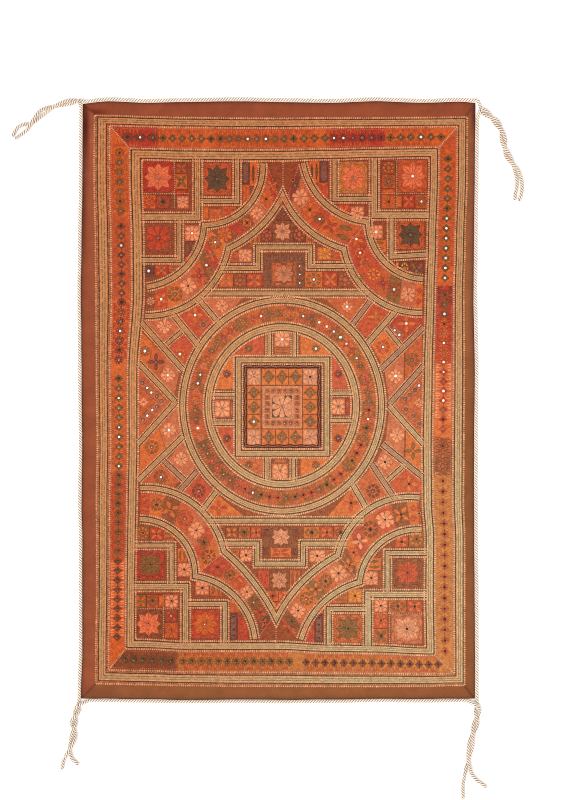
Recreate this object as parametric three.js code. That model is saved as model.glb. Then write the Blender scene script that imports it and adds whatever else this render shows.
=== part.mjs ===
// Mirror embroidered panel: an Indian patchwork cloth, laid flat with its face up.
// A brown cotton border with mitred corners frames four bands of mirror work and a patchwork field.
// Braids cover the seams, and one twisted cord along each side runs on into the ties at its two corners.
// Millimetres. X points to the right of the cloth, Y to its top edge, Z up from the surface it lies on.
import * as THREE from "three";

// Thicknesses, heights and clearances. END_GAP is half the gap between two ends that meet at a slant.
const CLOTH_THICK = 2;
const BRAID_THICK = 1.2;
const GAP = 0.3;
const SEAM_GAP = GAP / 2;
const END_GAP = GAP * 0.75;
const BRAID_Z = CLOTH_THICK + GAP;

// The drawn rectangles of the seams, from the outer edge inwards
const EDGE = { left: -498.4, right: 498.4, top: 758, bottom: -758 };
const OUTER_BRAID = {
  out: { left: -463, right: 474, top: 719, bottom: -725 },
  in: { left: -426, right: 446, top: 693, bottom: -689 },
};
const INNER_BRAID = {
  out: { left: -381, right: 399, top: 640, bottom: -638 },
  in: { left: -351, right: 371, top: 610, bottom: -612 },
};
const FIELD = INNER_BRAID.in;
const SWAY_FREE = { left: -300, right: 320, top: 570, bottom: -570 };
const SEAM_STEP = 76;

// The medallion's two ring braids, and the square braid inside, whose corners are cut to clear the ring
const MEDALLION = { x: 10, y: -13 };
const RING_STEPS = 64;
const RINGS = [
  { name: "medallion_braid_outer", rx: 264.5, ry: 280, width: 24.5 },
  { name: "medallion_braid_inner", rx: 201, ry: 213, width: 27 },
];
const SQUARE = { left: -113.5, right: 135.5, top: 115, bottom: -146 };
const SQUARE_CUT = 9;
const SQUARE_HOLE_CUT = 1;
const SQUARE_BRAID_WIDTH = 24;

// The corner scallops: each is a braid along two arcs, from its start near the panel's middle to a cusp
// and on to its end at the field's side edge. A bulge is how far an arc's middle stands off its chord,
// on the medallion's side. The two large ones above the medallion meet on one line, and so do those below.
const SCALLOPS = [
  { name: "small_top_left", start: [-40, 601.8], bulges: [48, 39], cusp: [-188.6, 445.8], end: [-334, 288.3] },
  { name: "large_top_left", start: [23, 544.8], bulges: [21.3, 50], cusp: [-126.6, 385.8], end: [-337.5, 214.6], meet: 12 },
  { name: "small_top_right", start: [62.9, 603.4], bulges: [38, 40], cusp: [227.7, 453.4], end: [368, 308.6] },
  { name: "large_top_right", start: [1, 544.8], bulges: [29, 48], cusp: [167, 384.8], end: [366, 222.3], meet: 12 },
  { name: "small_bottom_left", start: [-59.1, -605], bulges: [38, 43], cusp: [-211.2, -445.8], end: [-352, -301] },
  { name: "large_bottom_left", start: [4.4, -571.8], bulges: [13.2, 50], cusp: [-137.8, -382.3], end: [-350, -222.3], meet: -4.4 },
  { name: "small_bottom_right", start: [57.8, -607], bulges: [28, 42], cusp: [207.1, -461], end: [364, -327.7] },
  { name: "large_bottom_right", start: [-14, -570.5], bulges: [20, 50], cusp: [151.3, -392.4], end: [359, -246.4], meet: -4.4 },
];
const SCALLOP_WIDTH = 23;
const ARC_STEPS = 9;

// The cord
const CORD_R = 4.5;
const CORD_SIDES = 8;
const CORD_STEP = 24;
const TIE_STEP = 10;
const TIE_PARTS = 4;
const BEND = 2;
const CUT_BEFORE_MEETING = 4;
const CORD_FROM_EDGE = 4.8;

// How far the sewn lines stand off their drawn places, to the right (x) and to the top (y).
// Columns: the cloth's edge, the outer braid's outer seam and the field's seam, on both sides.
const SWAY_X = [
  { y: 758, edgeL: 2.5, seamL: -4, fieldL: 5, fieldR: 11, seamR: 7, edgeR: 2.5 },
  { y: 580, edgeL: 1.5, seamL: -5.5, fieldL: 6, fieldR: 11, seamR: 6, edgeR: 0.5 },
  { y: 395, edgeL: -1, seamL: -2, fieldL: 11, fieldR: 6, seamR: 1, edgeR: -1.5 },
  { y: 280, edgeL: -2.5, seamL: -0.5, fieldL: 12, fieldR: 2, seamR: -2, edgeR: -2.5 },
  { y: 70, edgeL: -1, seamL: 0.6, fieldL: -3.5, fieldR: -4.5, seamR: -1, edgeR: 0.5 },
  { y: -115, edgeL: 1, seamL: 3, fieldL: -3.5, fieldR: -7.5, seamR: -2, edgeR: -1 },
  { y: -260, edgeL: -1, seamL: 0.6, fieldL: -6, fieldR: -6, seamR: -3, edgeR: -1.5 },
  { y: -350, edgeL: 1, seamL: 1.6, fieldL: -8, fieldR: 0, seamR: 0, edgeR: -1 },
  { y: -495, edgeL: 1, seamL: 1.6, fieldL: -10, fieldR: -1, seamR: 0, edgeR: 0.5 },
  { y: -640, edgeL: 1, seamL: -0.7, fieldL: -10, fieldR: 1.5, seamR: 0, edgeR: 1 },
  { y: -758, edgeL: -2.5, seamL: -1, fieldL: -8, fieldR: 2, seamR: 0, edgeR: 1 },
];
const SWAY_Y = [
  { x: -498, edgeT: -4, seamT: 6, fieldT: 1, fieldB: 8, seamB: 6, edgeB: 1 },
  { x: -425, edgeT: 2, seamT: 5, fieldT: 1, fieldB: 8, seamB: 5, edgeB: 1 },
  { x: -340, edgeT: -2, seamT: 2, fieldT: 0, fieldB: 7, seamB: 3, edgeB: 0 },
  { x: -237, edgeT: 0, seamT: 0, fieldT: -2.7, fieldB: 2, seamB: 1, edgeB: -2 },
  { x: -100, edgeT: 2, seamT: -1.5, fieldT: -3.4, fieldB: 2, seamB: -1, edgeB: -1 },
  { x: 0, edgeT: 0, seamT: -2, fieldT: -3, fieldB: 2, seamB: -1, edgeB: -2 },
  { x: 130, edgeT: -2, seamT: -1, fieldT: 0, fieldB: -4, seamB: -1.5, edgeB: -1 },
  { x: 250, edgeT: 2, seamT: -1, fieldT: 3, fieldB: -6, seamB: -1.5, edgeB: 1 },
  { x: 370, edgeT: -2, seamT: 0, fieldT: 5, fieldB: -12, seamB: -1, edgeB: 0 },
  { x: 450, edgeT: 1, seamT: 1, fieldT: 3, fieldB: -12, seamB: 1, edgeB: 1 },
  { x: 498, edgeT: -2, seamT: 1, fieldT: 3, fieldB: -12, seamB: 1, edgeB: 1 },
];

// The four ties, each a pair of cords twisted round each other. x and y are the pair's middle, spread
// is half the distance between the two, and turn counts half turns: at a whole number the cords lie
// side by side, and halfway between one lies over the other. up is the height of the pair's middle over
// a cord that lies on the surface, as a share of spread. The first row is where the two cords meet.
const TIES = {
  top_left: [
    { x: -506, y: 759, spread: 5.3, turn: -0.5, up: 1 },
    { x: -530, y: 756, spread: 4.9, turn: -1, up: 1 },
    { x: -563, y: 747, spread: 4.9, turn: -1.5, up: 1 },
    { x: -597, y: 731.5, spread: 6.5, turn: -2, up: 0.6 },
    { x: -626, y: 703, spread: 4.9, turn: -2.5, up: 1 },
    { x: -642, y: 693, spread: 8.5, turn: -3, up: 0.2 },
    { x: -655, y: 685, spread: 10.5, turn: -3, up: 0 },
    { x: -670.5, y: 667.5, spread: 5.2, turn: -3, up: 0 },
  ],
  top_right: [
    { x: 515, y: 737, spread: 5.3, turn: -0.5, up: 1 },
    { x: 529, y: 727, spread: 4.9, turn: -1, up: 1 },
    { x: 543, y: 715, spread: 4.9, turn: -1.5, up: 1 },
    { x: 556, y: 701, spread: 4.9, turn: -2, up: 1 },
    { x: 566, y: 684, spread: 4.9, turn: -2.5, up: 1 },
    { x: 571, y: 659, spread: 5, turn: -3, up: 1 },
    { x: 575, y: 636, spread: 4.9, turn: -3.5, up: 1 },
    { x: 584, y: 617, spread: 4.9, turn: -4, up: 1 },
    { x: 597, y: 595, spread: 4.9, turn: -4.5, up: 1 },
    { x: 609, y: 570, spread: 5.5, turn: -5, up: 0.3 },
    { x: 612.4, y: 545, spread: 7, turn: -5, up: 0 },
    { x: 609, y: 522, spread: 8, turn: -5, up: 0 },
    { x: 606, y: 508, spread: 5.4, turn: -5, up: 0 },
  ],
  bottom_left: [
    { x: -508, y: -775, spread: 5.3, turn: 0.5, up: 1 },
    { x: -511, y: -788, spread: 5.2, turn: 1, up: 1 },
    { x: -515.5, y: -801.5, spread: 5.2, turn: 1.5, up: 1 },
    { x: -519, y: -817, spread: 5.2, turn: 2, up: 1 },
    { x: -518.5, y: -834, spread: 5, turn: 2.5, up: 1 },
    { x: -520.5, y: -856, spread: 5.2, turn: 3, up: 1 },
    { x: -529.5, y: -886, spread: 4.9, turn: 3.5, up: 1 },
    { x: -532.5, y: -904, spread: 7, turn: 4, up: 0.3 },
    { x: -532.5, y: -916, spread: 13.5, turn: 4, up: 0 },
    { x: -528.6, y: -929.6, spread: 21.4, turn: 4, up: 0 },
  ],
  bottom_right: [
    { x: 504.5, y: -775, spread: 5.3, turn: -0.5, up: 1 },
    { x: 505, y: -789, spread: 5.2, turn: -1, up: 1 },
    { x: 503, y: -807, spread: 5, turn: -1.5, up: 1 },
    { x: 499, y: -826.5, spread: 4.9, turn: -2, up: 1 },
    { x: 493.5, y: -846, spread: 4.9, turn: -2.5, up: 1 },
    { x: 487.6, y: -877, spread: 5.2, turn: -3, up: 1 },
    { x: 481.7, y: -917, spread: 4.9, turn: -3.5, up: 1 },
    { x: 481.5, y: -941, spread: 6.5, turn: -4, up: 0.3 },
    { x: 483.5, y: -957, spread: 12, turn: -4, up: 0 },
    { x: 489, y: -976, spread: 22, turn: -4, up: 0 },
    { x: 498.4, y: -995.5, spread: 32.6, turn: -4, up: 0 },
  ],
};
// The four cords, each with the corner where it starts and ends, and how far before the cloth's corner
// it leaves the edge. strand is 1 for the pair's cord on the left, seen from the corner.
const CORDS = [
  { side: "top", from: { corner: "top_left", strand: -1, short: 14 }, to: { corner: "top_right", strand: 1, short: -5 } },
  { side: "right", from: { corner: "top_right", strand: -1, short: 42 }, to: { corner: "bottom_right", strand: 1, short: 0 } },
  { side: "bottom", from: { corner: "bottom_right", strand: -1, short: 22 }, to: { corner: "bottom_left", strand: 1, short: 22 } },
  { side: "left", from: { corner: "bottom_left", strand: -1, short: 0 }, to: { corner: "top_left", strand: 1, short: 12 } },
];

// Colours and finishes
const finish = (color, roughness, metalness = 0) =>
  new THREE.MeshStandardMaterial({ color, roughness, metalness });
const MATERIALS = {
  border: finish(0x94492b, 0.9),
  band: finish(0xc4552a, 0.9),
  field: finish(0xc2502c, 0.9),
  braid: finish(0xb98a5c, 0.9),
  cord: finish(0xe2d3b8, 0.85),
};

// A smooth step between the rows of a table: its value in the named column, at the place key = at.
function alongTable(table, key, at, column) {
  const rows = [...table].sort((a, b) => a[key] - b[key]);
  if (at <= rows[0][key]) return rows[0][column];
  const next = rows.findIndex((row) => row[key] > at);
  if (next < 0) return rows.at(-1)[column];
  const low = rows[next - 1];
  const high = rows[next];
  const t = (at - low[key]) / (high[key] - low[key]);
  return THREE.MathUtils.lerp(low[column], high[column], t * t * (3 - 2 * t));
}

// Straight lines between stops, each a place and the value there.
function betweenStops(stops, at) {
  if (at <= stops[0][0]) return stops[0][1];
  for (let i = 1; i < stops.length; i += 1) {
    const [high, value] = stops[i];
    const [low, before] = stops[i - 1];
    if (at <= high) return THREE.MathUtils.lerp(before, value, (at - low) / (high - low));
  }
  return stops.at(-1)[1];
}

// A point of the drawing, moved to where the sewn cloth has it. Inside the field the drawing is true.
function sewn(x, y) {
  const swayX = (column) => alongTable(SWAY_X, "y", y, column);
  const swayY = (column) => alongTable(SWAY_Y, "x", x, column);
  const dx = betweenStops(
    [
      [EDGE.left, swayX("edgeL")],
      [OUTER_BRAID.out.left, swayX("seamL")],
      [FIELD.left, swayX("fieldL")],
      [SWAY_FREE.left, 0],
      [SWAY_FREE.right, 0],
      [FIELD.right, swayX("fieldR")],
      [OUTER_BRAID.out.right, swayX("seamR")],
      [EDGE.right, swayX("edgeR")],
    ],
    x,
  );
  const dy = betweenStops(
    [
      [EDGE.bottom, swayY("edgeB")],
      [OUTER_BRAID.out.bottom, swayY("seamB")],
      [FIELD.bottom, swayY("fieldB")],
      [SWAY_FREE.bottom, 0],
      [SWAY_FREE.top, 0],
      [FIELD.top, swayY("fieldT")],
      [OUTER_BRAID.out.top, swayY("seamT")],
      [EDGE.top, swayY("edgeT")],
    ],
    y,
  );
  return new THREE.Vector2(x + dx, y + dy);
}

// A closed outline with a point at least every SEAM_STEP, sewn.
function sewnOutline(corners) {
  const points = [];
  corners.forEach(([x0, y0], i) => {
    const [x1, y1] = corners[(i + 1) % corners.length];
    const parts = Math.max(1, Math.ceil(Math.hypot(x1 - x0, y1 - y0) / SEAM_STEP));
    for (let k = 0; k < parts; k += 1) {
      const t = k / parts;
      points.push(sewn(x0 + (x1 - x0) * t, y0 + (y1 - y0) * t));
    }
  });
  return points;
}

const panel = new THREE.Group();

// A flat piece of cloth: an outline, with perhaps a hole, given its thickness.
function addFlat(name, outline, hole, z, thick, material) {
  const shape = new THREE.Shape(outline);
  if (hole) shape.holes.push(new THREE.Path(hole));
  const geometry = new THREE.ExtrudeGeometry(shape, { depth: thick, bevelEnabled: false });
  const mesh = new THREE.Mesh(geometry, material);
  mesh.name = name;
  mesh.position.z = z;
  panel.add(mesh);
}

// Midway between two rectangles, moved outwards by a clearance.
function between(a, b, out) {
  return {
    left: (a.left + b.left) / 2 - out,
    right: (a.right + b.right) / 2 + out,
    top: (a.top + b.top) / 2 + out,
    bottom: (a.bottom + b.bottom) / 2 - out,
  };
}

// The four strips of a frame between two rectangles, mitred at their corners.
function addMitredFrame(name, o, i, z, thick, material) {
  const g = END_GAP;
  const strips = {
    top: [[i.left + g, i.top], [i.right - g, i.top], [o.right - g, o.top], [o.left + g, o.top]],
    right: [[i.right, i.top - g], [i.right, i.bottom + g], [o.right, o.bottom + g], [o.right, o.top - g]],
    bottom: [[i.right - g, i.bottom], [i.left + g, i.bottom], [o.left + g, o.bottom], [o.right - g, o.bottom]],
    left: [[i.left, i.bottom + g], [i.left, i.top - g], [o.left, o.top - g], [o.left, o.bottom + g]],
  };
  for (const [side, corners] of Object.entries(strips))
    addFlat(`${name}_${side}`, sewnOutline(corners), null, z, thick, material);
}

// An oval outline about the medallion's centre.
function oval(rx, ry) {
  const points = [];
  for (let k = 0; k < RING_STEPS; k += 1) {
    const a = (2 * Math.PI * k) / RING_STEPS;
    points.push(new THREE.Vector2(MEDALLION.x + rx * Math.cos(a), MEDALLION.y + ry * Math.sin(a)));
  }
  return points;
}

// The square's outline, moved inwards, with its corners cut.
function cutSquare(inset, cut) {
  const [l, r] = [SQUARE.left + inset, SQUARE.right - inset];
  const [b, t] = [SQUARE.bottom + inset, SQUARE.top - inset];
  const low = [[l, b + cut], [l + cut, b], [r - cut, b], [r, b + cut]];
  const high = [[r, t - cut], [r - cut, t], [l + cut, t], [l, t - cut]];
  return [...low, ...high].map(([x, y]) => new THREE.Vector2(x, y));
}

// Points along the arc from a to b whose middle stands off the chord by bulge, towards the medallion.
function bulgedArc(a, b, bulge) {
  const chord = b.clone().sub(a);
  const half = chord.length() / 2;
  const along = chord.normalize();
  const middle = a.clone().add(b).multiplyScalar(0.5);
  const off = new THREE.Vector2(-along.y, along.x);
  if (off.dot(new THREE.Vector2(MEDALLION.x, MEDALLION.y).sub(middle)) < 0) off.negate();
  const radius = (half * half + bulge * bulge) / (2 * bulge);
  const reach = Math.asin(half / radius);
  const points = [];
  for (let k = 0; k <= ARC_STEPS; k += 1) {
    const angle = reach * ((2 * k) / ARC_STEPS - 1);
    const aside = off.clone().multiplyScalar(radius * Math.cos(angle) - radius + bulge);
    points.push(middle.clone().addScaledVector(along, radius * Math.sin(angle)).add(aside));
  }
  return points;
}

// The outline of a strip of even width along a line, its corners mitred.
function stripOutline(line, width) {
  const sides = [[], []];
  line.forEach((point, i) => {
    const before = line[Math.max(0, i - 1)];
    const after = line[Math.min(line.length - 1, i + 1)];
    const into = (i ? point.clone().sub(before) : after.clone().sub(point)).normalize();
    const onwards = (i < line.length - 1 ? after.clone().sub(point) : into.clone()).normalize();
    const mean = into.clone().add(onwards).normalize();
    const half = width / 2 / mean.dot(into);
    sides[0].push(new THREE.Vector2(point.x - mean.y * half, point.y + mean.x * half));
    sides[1].push(new THREE.Vector2(point.x + mean.y * half, point.y - mean.x * half));
  });
  return [...sides[0], ...sides[1].reverse()];
}

function addScallops() {
  for (const { name, start, bulges, cusp, end, meet } of SCALLOPS) {
    const [from, turn, to] = [start, cusp, end].map(([x, y]) => new THREE.Vector2(x, y));
    const line = [...bulgedArc(from, turn, bulges[0]), ...bulgedArc(turn, to, bulges[1]).slice(1)];
    const outline = stripOutline(line, SCALLOP_WIDTH);
    if (meet !== undefined) {
      const leftOfMeeting = cusp[0] < meet;
      for (const p of outline) p.x = leftOfMeeting ? Math.min(p.x, meet - SEAM_GAP) : Math.max(p.x, meet + SEAM_GAP);
    }
    addFlat(`scallop_${name}`, outline, null, BRAID_Z, BRAID_THICK, MATERIALS.braid);
  }
}

// One cord of a tie as a list of points: it winds round the pair's middle, and the height of that
// middle keeps the lower cord on or above the surface. BEND points after the first are left out, so
// that the cord rounds the corner in one smooth bend.
function tiePoints(rows, strand) {
  const middle = new THREE.CatmullRomCurve3(rows.map(({ x, y }) => new THREE.Vector3(x, y, 0)), false, "centripetal");
  const last = rows.length - 1;
  const points = [];
  for (let k = 0; k <= last * TIE_PARTS; k += k ? 1 : 1 + BEND) {
    const i = Math.min(last - 1, Math.floor(k / TIE_PARTS));
    const t = k / TIE_PARTS - i;
    const mix = (column) => THREE.MathUtils.lerp(rows[i][column], rows[i + 1][column], t);
    const at = middle.getPoint((i + t) / last);
    const along = middle.getTangent((i + t) / last);
    const angle = mix("turn") * Math.PI;
    const aside = strand * mix("spread") * Math.cos(angle);
    const up = Math.max(mix("up"), Math.abs(Math.sin(angle))) + strand * Math.sin(angle);
    points.push(new THREE.Vector3(at.x - along.y * aside, at.y + along.x * aside, CORD_R + mix("spread") * up));
  }
  return points;
}

// A side's own stretch of cord, beside the cloth's edge, from the start of its travel to the end.
function edgePoints({ side, from, to }) {
  const o = CORD_FROM_EDGE;
  const ends = {
    top: [EDGE.left + from.short, EDGE.top, EDGE.right - to.short, EDGE.top, 0, o],
    right: [EDGE.right, EDGE.top - from.short, EDGE.right, EDGE.bottom + to.short, o, 0],
    bottom: [EDGE.right - from.short, EDGE.bottom, EDGE.left + to.short, EDGE.bottom, 0, -o],
    left: [EDGE.left, EDGE.bottom + from.short, EDGE.left, EDGE.top - to.short, -o, 0],
  };
  const [x0, y0, x1, y1, ox, oy] = ends[side];
  const steps = Math.ceil(Math.hypot(x1 - x0, y1 - y0) / CORD_STEP);
  const points = [];
  for (let k = 0; k <= steps; k += 1) {
    const p = sewn(x0 + ((x1 - x0) * k) / steps, y0 + ((y1 - y0) * k) / steps);
    points.push(new THREE.Vector3(p.x + ox, p.y + oy, CORD_R));
  }
  return points;
}

// The part of a curve between two shares of its length, nowhere below the surface.
class Stretch extends THREE.Curve {
  constructor(whole, from, to) {
    super();
    Object.assign(this, { whole, from, to });
  }
  getPoint(t, target = new THREE.Vector3()) {
    this.whole.getPointAt(THREE.MathUtils.lerp(this.from, this.to, t), target);
    return target.setZ(Math.max(target.z, CORD_R));
  }
}

// A closed tube along part of a cord's curve: a round section drawn along it.
function addTube(name, whole, from, to, step) {
  const section = new THREE.Shape();
  for (let k = 0; k < CORD_SIDES; k += 1) {
    const a = (2 * Math.PI * (k + 0.5)) / CORD_SIDES;
    section[k ? "lineTo" : "moveTo"](CORD_R * Math.cos(a), CORD_R * Math.sin(a));
  }
  const long = whole.getLength();
  const steps = Math.max(4, Math.round((to - from) / step));
  const curve = new Stretch(whole, from / long, to / long);
  const geometry = new THREE.ExtrudeGeometry(section, { steps, extrudePath: curve, bevelEnabled: false });
  const mesh = new THREE.Mesh(geometry, MATERIALS.cord);
  mesh.name = name;
  panel.add(mesh);
}

// Each cord is one smooth line, cut just before it meets the other cord of each of its two ties.
function addCords() {
  const divisionsPerPoint = 12;
  for (const cord of CORDS) {
    const start = tiePoints(TIES[cord.from.corner], cord.from.strand).reverse();
    const end = tiePoints(TIES[cord.to.corner], cord.to.strand);
    const points = [...start, ...edgePoints(cord), ...end];
    const whole = new THREE.CatmullRomCurve3(points, false, "centripetal");
    whole.arcLengthDivisions = (points.length - 1) * divisionsPerPoint;
    const lengths = whole.getLengths();
    const first = lengths[(start.length - 1) * divisionsPerPoint] + CUT_BEFORE_MEETING;
    const last = lengths[(points.length - end.length) * divisionsPerPoint] - CUT_BEFORE_MEETING;
    const half = END_GAP;
    addTube(`tie_${cord.from.corner}_from_${cord.side}`, whole, 0, first - half, TIE_STEP);
    addTube(`edge_cord_${cord.side}`, whole, first + half, last - half, CORD_STEP);
    addTube(`tie_${cord.to.corner}_from_${cord.side}`, whole, last + half, whole.getLength(), TIE_STEP);
  }
}

const bandOutside = between(OUTER_BRAID.out, OUTER_BRAID.in, -SEAM_GAP);
const bandInside = between(INNER_BRAID.out, INNER_BRAID.in, SEAM_GAP);
const field = between(INNER_BRAID.out, INNER_BRAID.in, -SEAM_GAP);
const fieldBottom = [[field.left, field.bottom], [field.right, field.bottom]];
const fieldTop = [[field.right, field.top], [field.left, field.top]];
addMitredFrame("border", EDGE, between(OUTER_BRAID.out, OUTER_BRAID.in, SEAM_GAP), 0, CLOTH_THICK, MATERIALS.border);
addMitredFrame("mirror_band", bandOutside, bandInside, 0, CLOTH_THICK, MATERIALS.band);
addFlat("patchwork_field", sewnOutline([...fieldBottom, ...fieldTop]), null, 0, CLOTH_THICK, MATERIALS.field);
addMitredFrame("outer_braid", OUTER_BRAID.out, OUTER_BRAID.in, BRAID_Z, BRAID_THICK, MATERIALS.braid);
addMitredFrame("inner_braid", INNER_BRAID.out, INNER_BRAID.in, BRAID_Z, BRAID_THICK, MATERIALS.braid);
for (const { name, rx, ry, width } of RINGS)
  addFlat(name, oval(rx, ry), oval(rx - width, ry - width), BRAID_Z, BRAID_THICK, MATERIALS.braid);
const squareHole = cutSquare(SQUARE_BRAID_WIDTH, SQUARE_HOLE_CUT);
addFlat("square_braid", cutSquare(0, SQUARE_CUT), squareHole, BRAID_Z, BRAID_THICK, MATERIALS.braid);
addScallops();
addCords();

export default panel;
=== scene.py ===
# %% [markdown]
# # A mirror embroidered panel
# A patchwork cloth, one metre by one and a half, that lies flat with its face up. Pieces of old embroidery
# with small mirrors are sewn side by side, braids cover their seams, plain brown cotton frames them, and
# one twisted cotton cord along each side runs on into the ties at the corners.
# Everything is worked out in millimetres as whole numpy arrays, and scaled to metres when it becomes a mesh.

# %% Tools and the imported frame
import math

import bpy
import numpy as np
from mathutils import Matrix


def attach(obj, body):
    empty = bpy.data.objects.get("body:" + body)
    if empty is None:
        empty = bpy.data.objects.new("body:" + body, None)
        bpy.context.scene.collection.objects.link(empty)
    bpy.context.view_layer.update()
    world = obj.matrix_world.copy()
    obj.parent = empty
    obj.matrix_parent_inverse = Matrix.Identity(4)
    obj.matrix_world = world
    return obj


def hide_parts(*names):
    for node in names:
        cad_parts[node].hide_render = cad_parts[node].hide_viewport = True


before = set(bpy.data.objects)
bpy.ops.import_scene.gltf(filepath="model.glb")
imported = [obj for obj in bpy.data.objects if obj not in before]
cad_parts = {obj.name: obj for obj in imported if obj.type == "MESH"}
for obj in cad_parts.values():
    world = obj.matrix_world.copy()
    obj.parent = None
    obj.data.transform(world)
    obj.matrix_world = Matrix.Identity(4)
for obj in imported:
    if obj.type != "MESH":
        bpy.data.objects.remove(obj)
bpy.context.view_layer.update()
MM = 0.001
rng = np.random.default_rng(7)
print("CAD nodes:", len(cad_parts))

# %% [markdown]
# ## The camera
# The panel is seen from straight above. A long lens keeps the edges from leaning, and the height follows
# from the lens: height = length seen * lens / sensor.

# %% Camera
SQUARE_MM = 2.54
SHEET_WIDE, SHEET_TALL = 578, 800
LENS, SENSOR = 85.0, 36.0
SHEET_MIDDLE = (278.25, 400.5)

camera_data = bpy.data.cameras.new("camera")
camera_data.lens = LENS
camera_data.sensor_width = SENSOR
camera_data.clip_end = 50
camera = bpy.data.objects.new("camera", camera_data)
bpy.context.scene.collection.objects.link(camera)
camera_x = (SHEET_WIDE / 2 - SHEET_MIDDLE[0]) * SQUARE_MM * MM
camera_y = (SHEET_MIDDLE[1] - SHEET_TALL / 2) * SQUARE_MM * MM
camera.location = (camera_x, camera_y, SHEET_TALL * SQUARE_MM * MM * LENS / SENSOR)
bpy.context.scene.camera = camera
print("camera height", round(camera.location.z, 3), "m")

# %% [markdown]
# ## The sewn lines
# Hand sewing never runs quite straight. A table says how far each seam strays from its drawn place, at
# eleven places along it, and a smooth step joins the rows. Between two seams the stray is shared out.
# These are the tables of the solid model, so the two agree.

# %% How far the seams stray
EDGE = (-498.4, 498.4, 758.0, -758.0)
OUTER_BRAID_OUT, OUTER_BRAID_IN = (-463.0, 474.0, 719.0, -725.0), (-426.0, 446.0, 693.0, -689.0)
INNER_BRAID_OUT, INNER_BRAID_IN = (-381.0, 399.0, 640.0, -638.0), (-351.0, 371.0, 610.0, -612.0)
STOPS_X = np.array([-498.4, -463, -351, -300, 320, 371, 474, 498.4])
STOPS_Y = np.array([-758, -725, -612, -570, 570, 610, 719, 758])
SWAY_X = np.array([
    # y, then the stray of the left edge, left seam, field's left, field's right, right seam and right edge
    [-758, -2.5, -1, -8, 2, 0, 1], [-640, 1, -0.7, -10, 1.5, 0, 1], [-495, 1, 1.6, -10, -1, 0, 0.5],
    [-350, 1, 1.6, -8, 0, 0, -1], [-260, -1, 0.6, -6, -6, -3, -1.5], [-115, 1, 3, -3.5, -7.5, -2, -1],
    [70, -1, 0.6, -3.5, -4.5, -1, 0.5], [280, -2.5, -0.5, 12, 2, -2, -2.5], [395, -1, -2, 11, 6, 1, -1.5],
    [580, 1.5, -5.5, 6, 11, 6, 0.5], [758, 2.5, -4, 5, 11, 7, 2.5],
])
SWAY_Y = np.array([
    # x, then the stray of the bottom edge, bottom seam, field's bottom, field's top, top seam and top edge
    [-498, 1, 6, 8, 1, 6, -4], [-425, 1, 5, 8, 1, 5, 2], [-340, 0, 3, 7, 0, 2, -2],
    [-237, -2, 1, 2, -2.7, 0, 0], [-100, -1, -1, 2, -3.4, -1.5, 2], [0, -2, -1, 2, -3, -2, 0],
    [130, -1, -1.5, -4, 0, -1, -2], [250, 1, -1.5, -6, 3, -1, 2], [370, 0, -1, -12, 5, 0, -2],
    [450, 1, 1, -12, 3, 1, 1], [498, 1, 1, -12, 3, 1, -2],
])


def row_and_share(places, at):
    """Which two rows of a table a place lies between, and how far on it is, from 0 to 1."""
    row = np.clip(np.searchsorted(places, at, side="right") - 1, 0, len(places) - 2)
    return row, np.clip((at - places[row]) / (places[row + 1] - places[row]), 0, 1)


def stray(table, stops, along, across):
    """How far sewn points stray: a smooth step (3t^2 - 2t^3) along the seam, a straight line across."""
    row, t = row_and_share(table[:, 0], along)
    t = (t * t * (3 - 2 * t))[:, None]
    seams = table[row, 1:] * (1 - t) + table[row + 1, 1:] * t
    values = np.insert(seams, [3, 3], 0, axis=1)
    stop, u = row_and_share(stops, across)
    each = np.arange(len(across))
    return values[each, stop] * (1 - u) + values[each, stop + 1] * u


def sewn(points):
    """Drawn points, moved to where the sewn cloth has them."""
    points = np.asarray(points, float)
    flat = points.reshape(-1, 2)
    dx = stray(SWAY_X, STOPS_X, flat[:, 1], flat[:, 0])
    dy = stray(SWAY_Y, STOPS_Y, flat[:, 0], flat[:, 1])
    return (flat + np.stack([dx, dy], 1)).reshape(points.shape)


print("top left corner is sewn at", sewn([[-498.4, 758.0]]).round(1))

# %% [markdown]
# ## The cords
# Each side has one cord. It starts as half of a tie, runs along the edge, and ends as half of the next
# tie, so its route is one smooth curve through three lists of points. In a tie the two cords wind round
# each other: aside = spread * cos(angle) and up = spread * sin(angle).

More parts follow.
